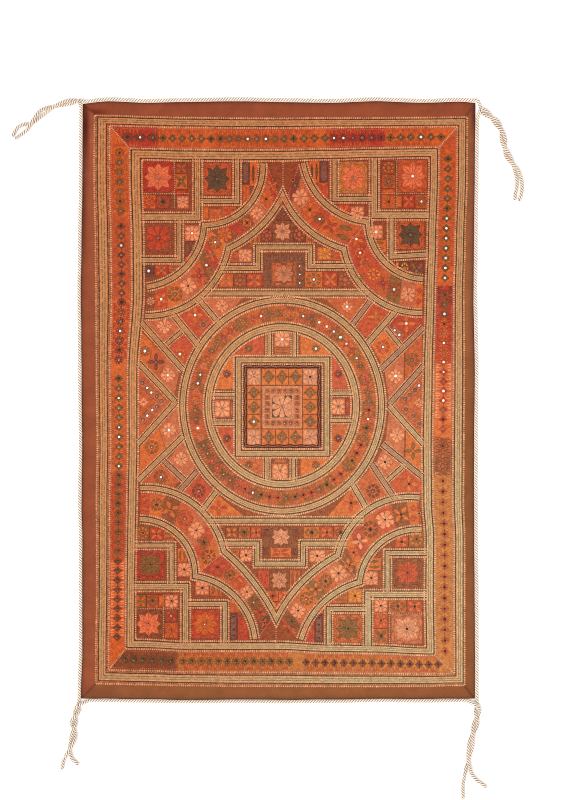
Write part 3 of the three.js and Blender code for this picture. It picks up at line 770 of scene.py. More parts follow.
# %% A profile carried along a strip
def carried(work, a, b, width, profile, dyes, closed=False):
    """Each row of the profile is (share, offset, height): a point stands at that share of the way from a
    to b, offset mm further towards b, and height above the cloth. Open strips are capped at their ends."""
    share, offset, height = np.array(profile, float).T
    share = share + offset / width
    if closed:
        a, b = np.vstack([a, a[:1]]), np.vstack([b, b[:1]])
    flat = a[:, None] + (b - a)[:, None] * share[None, :, None]
    z = ground(flat[..., 0], flat[..., 1]) + height
    along = running_length((a + b) / 2)[:, None]
    lay = np.stack(np.broadcast_arrays(along, share * width), -1) * MM
    n, k = len(a), len(share)
    points = np.concatenate([flat, z[..., None]], 2).reshape(-1, 3)
    dyes = np.broadcast_to(dyes, (n, k, 3)).reshape(-1, 3)
    work.add(points, outwards(points, tube_faces(n, k, not closed)), dyes, lay.reshape(-1, 2))


def line_in(a, b, share):
    """The line in a strip at a share of its width."""
    return a + (b - a) * share


# %% Stitches
# A stitch is a grain: a rhomb on the cloth and a short ridge over it
GRAIN = np.array([[-0.5, 0], [0, -0.5], [0.5, 0], [0, 0.5], [-0.2, 0], [0.2, 0]])
# Painted shade on the rhomb's four corners and painted highlight on the ridge: a factor on the dye for each
# point
GRAIN_SHADE = np.array([0.75, 0.45, 0.75, 0.45, 1.15, 1.15])
GRAIN_FACES = [np.array([[0, 1, 4], [1, 5, 4], [1, 2, 5], [2, 3, 5], [3, 4, 5], [3, 0, 4]]),
               np.array([[0, 3, 2, 1]])]
STITCH_FOOT, UNEVEN, UNEVEN_DYE = 0.1, 0.08, 1.6


def turned(angle, long, wide):
    """2 by 2 matrices that size a shape and turn it by an angle."""
    c, s = np.cos(angle), np.sin(angle)
    return np.stack([np.stack([c * long, -s * wide], -1), np.stack([s * long, c * wide], -1)], -2)


def stitch(work, places, angle, long, wide, high, dye):
    """Stitches at the given places and angles, each a little uneven in size, angle and dye, and with painted
    shade and highlight from GRAIN_SHADE.
    """
    n = len(places)
    shape = np.column_stack([GRAIN, [STITCH_FOOT] * 4 + [high] * 2])
    sizes = 1 + UNEVEN * rng.standard_normal((n, 2))
    angle = angle + UNEVEN * rng.standard_normal(n)
    dyes = np.broadcast_to(dye, (n, 3)) * (1 + UNEVEN_DYE * UNEVEN * rng.standard_normal((n, 1)))
    dyes = np.clip(dyes[:, None] * GRAIN_SHADE[None, :, None], 0, 1.2)
    work.repeat(shape, GRAIN_FACES, turned(angle, long * sizes[:, 0], wide * sizes[:, 1]), places, dyes)


def spots_along(line, pitch):
    """Places about a pitch apart along a line, and which way the line runs there."""
    length = running_length(line)[-1]
    places, _ = respaced(line, length / (2 * max(2, round(length / pitch))))
    directions = np.gradient(places, axis=0)[1::2]
    return places[1::2], np.arctan2(directions[:, 1], directions[:, 0])


def stitch_row(work, line, dye, pitch, long, wide, high=2.2, slant=1.15, closed=False):
    """A row of fat stitches along a line, each slanted to it."""
    if closed:
        line = np.vstack([line, line[:1]])
    places, angle = spots_along(line, pitch)
    stitch(work, places, angle + slant, long, wide, high, dye)


def zigzag_row(work, line, dye, pitch=5, reach=1.4, wide=1.5, high=1.3):
    """A herringbone row: each stitch crosses the line from one side to the other, and a little more."""
    places, angle = spots_along(line, pitch)
    lean = math.atan2(2 * reach, pitch) * np.where(np.arange(len(places)) % 2, 1, -1)
    stitch(work, places, angle + lean, math.hypot(2 * reach, pitch) * 1.1, wide, high, dye)


# %% [markdown]
# One braid, from edge to edge: stitches, dark cord, tape, dark cord, stitches. The tape has three low
# ridges where couched threads run along it. A wide braid has a second row of stitches at each edge.

# %% A whole braid
# Across the tape: share of its width, height, and how bright. Two dark gaps part it into three strands.
# The brightness is painted: shade at the edges and in the gaps, highlight on the ridge tops
TAPE_STRANDS = [(0, 0.5, 0.4), (0.04, 1.2, 0.9), (0.15, 1.55, 1.12), (0.26, 1.2, 0.95), (0.33, 0.85, 0.2),
                (0.4, 1.2, 0.95), (0.5, 1.6, 1.14), (0.6, 1.2, 0.95), (0.67, 0.85, 0.2), (0.74, 1.2, 0.95),
                (0.85, 1.55, 1.12), (0.96, 1.2, 0.9), (1, 0.5, 0.4)]
STRAND_HUES = np.array([[1.02, 1.0, 0.94], [0.88, 0.9, 0.8], [1.06, 0.96, 0.93]])


def braid(tape_work, cord_work, bead_work, a, b, width, closed=False, tape=None, wide=0.0, small=False):
    """Adds a braid to three Works. wide is the extra room for a second row of stitches at each edge, and d
    how far in from each edge a dark cord lies."""
    d = (3.4 if small else 4.8) + wide
    share, height, shade = np.array(TAPE_STRANDS).T
    offsets = (share - 0.5) * (width - 2 * (d + 0.9))
    ridge = np.column_stack([np.full(len(share), 0.5), offsets, height])
    profile = [(0, -0.8, 0), (0, 0.5, 0.4), *ridge, (1, -0.5, 0.4), (1, 0.8, 0), (1, 0.8, -1), (0, -0.8, -1)]
    middle = (a + b) / 2
    pale = np.clip(0.42 + middle[:, 0] / 1100 - middle[:, 1] / 1300, 0, 1)[:, None, None]
    base = DYES["tan"] * (1 - pale) + DYES["pale tan"] * pale
    if tape is not None:
        base = base * 0.4 + tape * 0.6
    strands = np.where(share < 0.34, 0, np.where(share > 0.66, 2, 1))
    hues = STRAND_HUES[strands] * shade[:, None]
    # The tape's edges and underside take the ground's dye, darkened as painted shade between the stitches
    dyes = np.tile(DYES["under"], (len(a), len(profile), 1))
    along = running_length(middle)[:, None] + 40 * strands
    warm = np.sin(along / 41 + 2 * np.sin(along / 67 + strands))[..., None]
    dyes[:, 2:2 + len(share)] = base * hues[None] * (1 + warm * [0.08, -0.03, -0.05])
    if closed:
        dyes = np.concatenate([dyes, dyes[:1]])
    carried(tape_work, a, b, width, profile, dyes, closed)
    size = 0.84 if small else 1.0
    for share, side in ((0, 1), (1, -1)):
        cord_profile = [(share, side * (d - 1.2), 0.2), (share, side * (d - 0.6), 1.3),
                        (share, side * (d + 0.5), 1.4), (share, side * (d + 1.1), 0.3)]
        carried(cord_work, a, b, width, cord_profile, DYES["dark line"], closed)
        stitch_row(bead_work, line_in(a, b, share + side * 0.9 / width), DYES["bead"], pitch=5.5 * size,
                   long=6.8 * size, wide=6.4 * size, closed=closed, slant=1.2)
        if wide > 2:
            stitch_row(bead_work, line_in(a, b, share + side * 5.4 / width), DYES["salmon"], pitch=4.8,
                       long=5.0, wide=3.6, high=1.6, closed=closed, slant=0.9)


# %% [markdown]
# ## The two braided frames
# These braids cover the seams between border, bands and field. Each side is a strip of its own with
# mitred ends, and the outer one is wide at the left and at the bottom.

# %% Frame braids
bead_work = Work()
FRAME_BRAIDS = [("outer_braid", OUTER_BRAID_OUT, OUTER_BRAID_IN),
                ("inner_braid", INNER_BRAID_OUT, INNER_BRAID_IN)]
for name, outer, inner in FRAME_BRAIDS:
    tape_work, cord_work = Work(), Work()
    for side in SIDES:
        a, b = frame_side(outer, inner, side)
        width = side_width(outer, inner, side)
        braid(tape_work, cord_work, bead_work, a, b, width, wide=3.4 if width > 34 else 0.0)
    nodes = [f"{name}_{side}" for side in SIDES]
    finish_piece(f"{name}_tape", tape_work, TAPE, nodes)
    finish_piece(f"{name}_dark_cords", cord_work, DARK_THREAD)
finish_piece("frame_salmon_stitches", bead_work, BEAD_THREAD)

# %% [markdown]
# ## The medallion's rings, the square and the scallops
# A ring is a strip between two ovals. A scalloped braid is a strip along two arcs. Each arc is given by
# its ends and by how far its middle bulges off its chord, and the corner between them is mitred.

# %% Curved strips
MEDALLION = np.array([10.0, -13.0])
SCALLOP_WIDTH, ARC_STEPS = 23.0, 28
# Name, start near the middle, bulge, cusp, bulge, end at the side, and x where two large ones meet
SCALLOPS = [
    ("small_top_left", (-40, 601.8), 48, (-188.6, 445.8), 39, (-334, 288.3), None),
    ("large_top_left", (23, 544.8), 21.3, (-126.6, 385.8), 50, (-337.5, 214.6), 12),
    ("small_top_right", (62.9, 603.4), 38, (227.7, 453.4), 40, (368, 308.6), None),
    ("large_top_right", (1, 544.8), 29, (167, 384.8), 48, (366, 222.3), 12),
    ("small_bottom_left", (-59.1, -605), 38, (-211.2, -445.8), 43, (-352, -301), None),
    ("large_bottom_left", (4.4, -571.8), 13.2, (-137.8, -382.3), 50, (-350, -222.3), -4.4),
    ("small_bottom_right", (57.8, -607), 28, (207.1, -461), 42, (364, -327.7), None),
    ("large_bottom_right", (-14, -570.5), 20, (151.3, -392.4), 50, (359, -246.4), -4.4),
]


def oval(rx, ry, steps=220):
    """Points of an oval about the medallion's middle."""
    angle = np.linspace(0, 2 * np.pi, steps, endpoint=False)
    return MEDALLION + np.stack([rx * np.cos(angle), ry * np.sin(angle)], 1)


def bulged_arc(a, b, bulge):
    """The arc from a to b whose middle stands bulge off its chord, on the medallion's side."""
    a, b = np.array(a, float), np.array(b, float)
    half = np.linalg.norm(b - a) / 2
    along = (b - a) / (2 * half)
    off = np.array([-along[1], along[0]])
    middle = (a + b) / 2
    off *= 1 if off @ (MEDALLION - middle) > 0 else -1
    radius = (half**2 + bulge**2) / (2 * bulge)
    angle = math.asin(half / radius) * np.linspace(-1, 1, ARC_STEPS + 1)[:, None]
    return middle + along * radius * np.sin(angle) + off * (radius * np.cos(angle) - radius + bulge)


def sides_of(line, width):
    """The two edges of a strip of even width along a line, mitred where the line turns."""
    into = unit(np.diff(line, axis=0))
    before, after = np.vstack([into[:1], into]), np.vstack([into, into[-1:]])
    mean = unit(before + after)
    half = (width / 2 / np.sum(mean * before, axis=1))[:, None]
    left_hand = np.stack([-mean[:, 1], mean[:, 0]], 1)
    return line + left_hand * half, line - left_hand * half


def scallop_line(start, bulge_1, cusp, bulge_2, end):
    """Both arcs of a scallop as one line."""
    return np.vstack([bulged_arc(start, cusp, bulge_1), bulged_arc(cusp, end, bulge_2)[1:]])


def cut_at(line, x_meet):
    """A scallop's edge whose first arc starts where it crosses x = x_meet, with as many points."""
    arc = line[: ARC_STEPS + 1]
    on_side = (arc[:, 0] - x_meet) * (arc[-1, 0] - x_meet) > 0
    first = max(1, int(np.argmax(on_side)))
    t = (x_meet - arc[first - 1, 0]) / (arc[first, 0] - arc[first - 1, 0])
    kept = np.vstack([arc[first - 1] + (arc[first] - arc[first - 1]) * t, arc[first:]])
    again, _ = respaced(kept, running_length(kept)[-1] / ARC_STEPS)
    return np.vstack([again, line[ARC_STEPS + 1:]])


# %% The curved braids
tape_work, cord_work, bead_work = Work(), Work(), Work()
# Of each ring: half its breadth, half its length, and the braid's width
RINGS = [(264.5, 280.0, 24.5), (201.0, 213.0, 27.0)]
for rx, ry, width in RINGS:
    braid(tape_work, cord_work, bead_work, oval(rx, ry), oval(rx - width, ry - width), width, closed=True)
SQUARE, SQUARE_INSIDE = (-113.5, 135.5, 115.0, -146.0), (-89.5, 111.5, 91.0, -122.0)
for side in SIDES:
    a, b = frame_side(SQUARE, SQUARE_INSIDE, side, as_sewn=False)
    braid(tape_work, cord_work, bead_work, a, b, side_width(SQUARE, SQUARE_INSIDE, side))
nodes = ["medallion_braid_outer", "medallion_braid_inner", "square_braid"]
finish_piece("medallion_tape", tape_work, TAPE, nodes)

tape_work = Work()
for name, start, bulge_1, cusp, bulge_2, end, meet in SCALLOPS:
    a, b = sides_of(scallop_line(start, bulge_1, cusp, bulge_2, end), SCALLOP_WIDTH)
    if meet is not None:
        a, b = cut_at(a, meet), cut_at(b, meet)
    braid(tape_work, cord_work, bead_work, a, b, SCALLOP_WIDTH)
finish_piece("scallop_tape", tape_work, TAPE, [f"scallop_{row[0]}" for row in SCALLOPS])
finish_piece("curved_dark_cords", cord_work, DARK_THREAD)
finish_piece("curved_salmon_stitches", bead_work, BEAD_THREAD)

# %% [markdown]
# ## Patchwork
# A patch is a small closed cushion: a skirt that goes down into the cloth, a darker rim where it is sewn
# down, and a face that follows the cloth. Motifs are built the same way from outlines that are drawn once,
# in a square from -1 to 1, and set down on a patch with two vectors, u and v, that its sides become.

# %% Patches
PATCH_FACE, PATCH_RIM, MOTIF_FOOT = 0.35, 1.3, 0.35


def patch(work, corners, dye, turn, line=0.42):
    """A closed cushion over a polygon in mm. turn is the angle of its threads, line how dark its rim is."""
    corners = np.asarray(corners, float)
    outline = np.concatenate([drawn_line((p, q), 9)[:-1] for p, q in zip(corners, np.roll(corners, -1, 0))])
    middle = outline.mean(0)
    k = len(outline)
    far = np.linalg.norm(outline - middle, axis=1)[:, None]
    rim = np.clip(1 - PATCH_RIM / far, 0.5, 1)
    shares = [np.ones((k, 1)), np.ones((k, 1)), rim, rim * 0.66, rim * 0.33]
    flat = np.concatenate([middle + (outline - middle) * share for share in shares] + [middle[None]])
    face = PATCH_FACE
    height = np.append(np.repeat([-1.2, face - 0.25, face, face, face], k), face)
    shade = np.append(np.repeat([line, line, 1, 1, 1], k), 1)
    points = np.column_stack([flat, ground(flat[:, 0], flat[:, 1]) + height])
    c, s = math.cos(turn), math.sin(turn)
    lay = flat @ np.array([[c, -s], [s, c]]) * MM
    work.add(points, mound_faces(points, k), DYES[dye] * shade[:, None], lay)


def box_of(x0, y0, x1, y1):
    """A rectangle of the drawing as corners in mm."""
    return squares([(x0, y1), (x1, y1), (x1, y0), (x0, y0)])


# %% Motifs
def padded(outline, rise=0.8, inset=0.74):
    """A closed cushion over an outline, and how much of the motif's dye each of its points has."""
    outline = np.asarray(outline, float)
    middle = outline.mean(0)
    k = len(outline)
    inner = middle + (outline - middle) * inset
    flat = np.concatenate([outline, outline, inner, middle[None]])
    points = np.column_stack([flat, np.append(np.repeat([-0.5, 0.35, rise], k), rise * 1.2)])
    mix = np.concatenate([np.zeros(2 * k), np.ones(k + 1)])
    return points, mound_faces(points, k), mix


def joined(shapes):
    """Several shapes as one."""
    counts = np.cumsum([0] + [len(p) for p, _, _ in shapes])
    faces = [f + count for (_, fs, _), count in zip(shapes, counts) for f in fs]
    return np.concatenate([s[0] for s in shapes]), faces, np.concatenate([s[2] for s in shapes])


LEAF_STEPS = 4


def lens(start, end, wide):
    """The outline of a leaf between two points, wide at its middle: half a wave on each side."""
    start, end = np.array(start, float), np.array(end, float)
    share = np.linspace(0, 1, LEAF_STEPS + 1)[:, None]
    line = between(start, end, share)
    side = np.array([start[1] - end[1], end[0] - start[0]]) / np.linalg.norm(end - start) * wide / 2
    bulge = np.sin(np.pi * share)
    return np.vstack([line - side * bulge, (line + side * bulge)[1:-1][::-1]])


def polar(radius, degrees):
    """A point at a radius and an angle."""
    return radius * math.cos(math.radians(degrees)), radius * math.sin(math.radians(degrees))


def star_flower():
    """Eight pointed petals, four to the sides and four longer ones to the corners, each in two halves."""
    halves = []
    for petal in range(8):
        tip = 0.93 if petal % 2 == 0 else 1.06
        for hand in (-1, 1):
            notch = polar(0.68, petal * 45 + hand * 22.5)
            halves.append(padded([(0, 0), notch, polar(tip, petal * 45)], 1.0, 0.8))
    return joined(halves)


def side_arcs():
    """Two flat leaves along each side of a square, which fill the room between petals."""
    arcs = []
    for side in range(4):
        c, s = polar(1, side * 90)
        for hand in (-1, 1):
            leaf = lens((0.08 * hand, 0.93), (0.92 * hand, 0.93), 0.26)
            arcs.append(padded(leaf @ np.array([[c, s], [-s, c]]), 0.6))
    return joined(arcs)


PETAL = [(0.18, -19), (0.62, -21), (0.88, -17), (0.97, -8), (0.97, 8), (0.88, 17), (0.62, 21), (0.18, 19)]


def round_flower():
    """Eight rounded petals about a middle, the four to the corners a little longer."""
    shapes = []
    for petal in range(8):
        reach = 0.98 if petal % 2 == 0 else 1.12
        outline = [polar(reach * r, petal * 360 / 8 + turn) for r, turn in PETAL]
        shapes.append(padded(outline, 1.0, 0.84))
    return joined(shapes)


def diamond_block(a):
    """One of the four blocks of a diamond, with the angle of its first corner."""
    return padded([polar(1.0, a), polar(1.0, a + 90), polar(0.55, a + 90), polar(0.55, a)])


def wheel_block(a):
    """One of the eight blocks of a wheel, at an angle."""
    outline = [polar(0.55, a - 13), polar(1.0, a - 17), polar(1.0, a + 17), polar(0.55, a + 13)]
    return padded(outline, 0.8, 0.66)


def tooth(x, y):
    """A tooth from an edge at height y towards the middle."""
    return padded([(x - 0.32, y), (x + 0.32, y), (x, y * 0.25)])


MOTIFS = {
    "star": star_flower(), "arcs": side_arcs(), "round": round_flower(),
    "cross": joined([padded(lens(polar(0.1, a), polar(1.3, a), 0.6), 0.9, 0.78) for a in range(45, 360, 90)]),
    "diamond": joined([diamond_block(a) for a in range(0, 360, 90)]),
    "leaves": joined([padded(lens((-0.9, y), (0.9, y), 0.55)) for y in (-0.5, 0.5)]),
    "teeth": joined([tooth(x, y) for x in (-0.62, 0, 0.62) for y in (-0.95, 0.95)]),
    "wheel": joined([wheel_block(a) for a in range(0, 360, 45)]),
    "block": padded([(-1, -1), (1, -1), (1, 1), (-1, 1)], 0.6, 0.6),
}


def set_down(work, kind, places, u, v, dye, outline, level=MOTIF_FOOT):
    """Sets a motif down at many places. u and v are what its own x and y of 1 become there."""
    points, faces, mix = MOTIFS[kind]
    places = np.atleast_2d(places)
    u, v = np.broadcast_to(u, places.shape), np.broadcast_to(v, places.shape)
    hand = np.sign(u[:, 0] * v[:, 1] - u[:, 1] * v[:, 0])[:, None]
    matrices = np.stack([u, v * hand], -1)
    dyes = between(outline, dye, mix[:, None])
    work.repeat(points + [0, 0, level], faces, matrices, places, dyes[None])


print("a star flower has", len(MOTIFS["star"][0]), "points")

# %% [markdown]
# ## Mirrors
# A small round of glass is held by a ring of buttonhole stitches that overlap its edge. Here every glass is
# a ten-sided dome and every ring a closed band round it. Their places are collected while the patches are
# made, and all are set down at once. How each glass shines is a painted reflection in its colour.

# %% Where the mirrors go, and the Works of the patches
MIRROR_R, RING_R = 3.1, 5.7
mirrors = []
patches, motifs = Work(), Work()


def add_mirror(place, tone, ring, size=1.0):
    """Notes a mirror: where, how it shines (bright, dim or dark: a reflection painted into the glass's
    colour), the dye of its ring, and its size.
    """
    mirrors.append((*place, tone, ring, size))


def motif(work, kind, place, u, v, dye, tone=None, line=0.55, ring=None, size=0.86):
    """A motif on a patch, with a mirror in its middle if a tone is given."""
    u, v = np.asarray(u, float) * size, np.asarray(v, float) * size
    if kind:
        set_down(work, kind, place, u, v, DYES[dye], DYES[dye] * line)
    if tone:
        add_mirror(place, tone, ring or dye)


def words(text):
    """The words of a table's text, with None for a dash."""
    return [None if word == "-" else word for word in text.split()]


# %% Cells between two lines
def line_at(line, t):
    """The point of a line at a count of its points, which may be a fraction."""
    i = np.arange(len(line))
    return np.stack([np.interp(t, i, line[:, 0]), np.interp(t, i, line[:, 1])], -1)


def cell(a, b, t0, t1, dye, kind=None, motif_dye=None, tone=None, ring=None, line=0.42):
    """One patch of a strip, from t0 to t1 along its two edges a and b, with its motif."""
    steps = np.linspace(t0, t1, max(2, int(abs(t1 - t0)) + 2))
    outline = np.vstack([line_at(a, steps), line_at(b, steps)[::-1]])
    patch(patches, outline, dye, rng.uniform(0, 3), line)
    middle = (line_at(a, (t0 + t1) / 2) + line_at(b, (t0 + t1) / 2)) / 2
    u = (line_at(a, t1) + line_at(b, t1) - line_at(a, t0) - line_at(b, t0)) / 4
    v = (line_at(b, (t0 + t1) / 2) - line_at(a, (t0 + t1) / 2)) / 2
    across = np.array([-u[1], u[0]]) / np.linalg.norm(u)
    v = across * abs(v @ across)
    if kind in ("round", "wheel", "star", "cross"):
        reach = min(np.linalg.norm(u) * 1.12, np.linalg.norm(v))
        u, v = u / np.linalg.norm(u) * reach, across * reach
    motif(motifs, kind, middle, u, v, motif_dye or dye, tone, ring=ring)


# %% [markdown]
# ## The mirror bands
# Along each band runs one row of mirrors, about 24 mm apart. Round each mirror lies a wheel or a diamond of
# small blocks, between them stand teeth along both edges, and a herringbone row finishes each edge.

# %% Motifs of the mirror bands
# Side, first and last mirror in squares along it, how many, the kind, its dye and the teeth's dye as one
# text, and which ones shine
BAND_ROWS = [
    ("left", 153, 211, 7, "wheel olive rust", ()), ("left", 226.5, 293, 8, "diamond brown rust", (2,)),
    ("left", 302.5, 359.5, 7, "wheel purple red", (3,)),
    ("left", 378.5, 466, 10, "diamond olive rust", (2, 5, 6, 9)),
    ("left", 475.5, 551, 9, "wheel olive red", ()), ("left", 561, 637, 9, "diamond brown salmon", ()),
    ("top", 127.5, 153, 3, "wheel moss rust", (1,)), ("top", 163, 211, 6, "diamond olive rust", ()),
    ("top", 220.5, 284, 8, "wheel olive orange", (3, 5)), ("top", 293.5, 325, 4, "diamond olive rust", ()),
    ("top", 334, 381, 6, "wheel purple rust", (0, 1)), ("top", 390.5, 441, 6, "diamond olive rust", (3,)),
    ("right", 159, 278, 13, "diamond olive rust", (6, 7, 8, 9, 10, 11, 12)),
    ("right", 295, 314, 3, "wheel olive purple", (2,)),
    ("right", 324, 362, 5, "wheel orange crimson", (2, 4)),
    ("right", 372, 429, 7, "diamond red salmon", (0, 2, 3)), ("right", 446, 466, 3, "wheel rust rust", ()),
    ("right", 481, 651, 17, "diamond rust gold", ()), ("bottom", 183, 289, 13, "wheel olive rust", ()),
    ("bottom", 306, 438, 15, "diamond brown rust", ()), ("bottom", 125, 171, 6, "wheel green brown", ()),
]
work, thread_work = Work(), Work()
for side, first, last, count, what, shine in BAND_ROWS:
    kind, dye, teeth_dye = words(what)
    a, b = frame_side(OUTER_BRAID_IN, INNER_BRAID_OUT, side)
    across = side in ("top", "bottom")
    drawn = in_squares((a + b) / 2)[:, 0 if across else 1]
    order = np.argsort(drawn)
    spots = np.linspace(first, last, count)
    t = np.interp(spots, drawn[order], np.arange(len(a))[order])
    half = (spots[1] - spots[0]) * SQUARE_MM / 2
    grow = 1.15 if kind == "wheel" else 1.0
    middles = (line_at(a, t) + line_at(b, t)) / 2
    v = (line_at(b, t) - line_at(a, t)) / 2 * ([0, 1] if across else [1, 0])
    u = np.stack([v[:, 1], -v[:, 0]], 1)
    u *= half / np.linalg.norm(u, axis=1)[:, None]
    shrunk = v / np.linalg.norm(v, axis=1)[:, None] * min(12.5, half)
    size = 0.92 if kind == "diamond" else 0.84
    set_down(work, kind, middles, u * size * grow, shrunk * size * grow, DYES[dye], DYES[dye] * 0.55, level=0)
    gaps = (middles + u)[:-1]
    u, v = u[:-1], v[:-1]
    set_down(work, "teeth", gaps, u * 0.9, v * 0.86, DYES[teeth_dye], DYES[teeth_dye] * 0.6, level=0)
    lower = 1 if side == "bottom" or (side in ("left", "right") and first > 470) else 0
    for number, place in enumerate(middles):
        tone = "bright" if number in shine else "dark" if (number % 5 == 0 or lower) else "dim"
        add_mirror(place, tone, dye)
for side in SIDES:
    a, b = frame_side(OUTER_BRAID_IN, INNER_BRAID_OUT, side)
    for share in (0.09, 0.91):
        line = line_in(a, b, share)
        zigzag_row(thread_work, line, DYES["pink"], pitch=5.2, reach=1.6, wide=2.0, high=1.0)
    ends = np.stack([a[0], b[0]])
    line, _ = respaced(ends, 4)
    stitch_row(thread_work, line, DYES["bead"], pitch=4.8, long=6.6, wide=5.6)
finish_piece("band_motifs", work, EMBROIDERY)

# %% [markdown]
# ## The bands between the scallops
# Each band is filled with patches of very different kinds, left over from older work. A row of the table
# gives the middle of a patch on the drawing, and two patches meet midway between their middles.

# %% Scallop bands
# Across, down, and as one text: cloth, motif, its dye, and the mirror's tone. A dash stands for none
SCALLOP_CELLS = {
    "top_left": [
        (272, 168, "olive wheel crimson dim"), (270.5, 182, "crimson cross orange dim"),
        (265.5, 199, "rust cross orange dark"), (258.7, 216.6, "clay round salmon dim"),
        (249.5, 226, "brown diamond orange dark"), (240, 234, "crimson leaves red -"),
        (229, 240, "brown round orange dim"), (219, 247, "orange wheel olive bright"),
        (211, 254.5, "crimson cross orange dim"), (202, 262, "olive wheel red bright"),
        (192, 269, "rust cross crimson dim"), (181, 276, "clay round salmon dark"),
        (169, 282, "orange wheel olive dim"), (158, 289, "red cross orange bright"),
        (149, 297, "brown wheel salmon dim"),
    ],
    "top_right": [
        (289, 168, "crimson cross orange dark"), (293.5, 183, "purple wheel brown dim"),
        (297.7, 198, "clay round salmon dim"), (307.6, 213.5, "rust cross orange dark"),
        (316.4, 223.5, "red wheel olive bright"), (326.4, 231.5, "orange cross crimson dim"),
        (340, 238, "rust leaves olive -"), (352.1, 243, "red cross orange bright"),
        (358.5, 253.4, "crimson wheel orange bright"), (365, 263.3, "red wheel orange dim"),
        (374.6, 274.5, "red wheel yellow dim"), (384, 281.5, "rust cross crimson dim"),
        (393.8, 287, "olive wheel red bright"), (409, 293.5, "clay round salmon dim"),
        (422, 298, "orange leaves red -"),
    ],
    "bottom_left": [
        (268, 634, "crimson leaves red -"), (265.5, 624.5, "moss cross red dark"),
        (262, 611, "brown cross red dark"), (256, 601, "olive wheel brown dim"),
        (250, 590, "clay round salmon dark"), (242, 578, "red leaves orange -"),
        (233, 573, "rust wheel olive dark"), (222, 563, "crimson cross red dark"),
        (211, 553, "orange wheel brown dim"), (200, 545, "red cross olive dark"),
        (190, 536, "clay round salmon dark"), (178, 526, "rust wheel red dim"),
        (166, 519, "brown cross orange dark"), (154, 513, "orange wheel olive dark"),
        (144, 507, "red leaves rust -"),
    ],
    "bottom_right": [
        (287, 634, "red leaves orange -"), (290, 623, "brown wheel olive dark"),
        (295.8, 609.7, "clay round salmon dark"), (306, 597, "orange wheel olive dim"),
        (314, 587.6, "olive cross orange dark"), (324, 580.5, "rust wheel olive dark"),
        (337, 572, "clay round salmon dark"), (348, 562, "brown cross orange dark"),
        (358, 555, "orange wheel red dark"), (369, 549, "crimson cross salmon dim"),
        (380, 541, "rust wheel brown dark"), (392, 533, "red round salmon dark"),
        (404, 524, "brown cross orange dark"), (415, 517, "orange leaves red -"),
        (424, 511, "crimson wheel salmon dark"),
    ],
}
for corner, cells in SCALLOP_CELLS.items():
    edges = []
    for size in ("small", "large"):
        row = next(row for row in SCALLOPS if row[0] == f"{size}_{corner}")
        line = scallop_line(*row[1:6])
        if row[6] is not None:
            line = cut_at(line, row[6])
        two = sides_of(line, SCALLOP_WIDTH)
        gaps = [np.linalg.norm(edge[ARC_STEPS] - MEDALLION) for edge in two]
        edges.append(two[int(np.argmin(gaps) if size == "small" else np.argmax(gaps))])
    a, b = edges
    middle = (a + b) / 2
    fine = np.linspace(0, len(a) - 1, 1200)
    places = line_at(middle, fine)
    t = [fine[np.argmin(np.linalg.norm(places - squares(row[:2]), axis=1))] for row in cells]
    joints = [0, *[(p + q) / 2 for p, q in zip(t, t[1:])], len(a) - 1]
    for row, t0, t1 in zip(cells, joints, joints[1:]):
        cell(a, b, t0, t1, *words(row[2]))
    for t0 in joints[1:-1]:
        line, _ = respaced(np.stack([line_at(a, t0), line_at(b, t0)]), 4)
        stitch_row(thread_work, line, DYES["salmon"], pitch=4.2, long=4.0, wide=2.4, high=1.3)
    for share in (0.1, 0.9):
        zigzag_row(thread_work, line_in(a, b, share), DYES["salmon"])

# %% [markdown]
# ## The corner blocks and the middle strips
# These were cut square, each with its motif already worked. A row gives a patch's left, top, right and
# bottom on the drawing, and the same text as above: its cloth, its motif and dye, and its mirror.

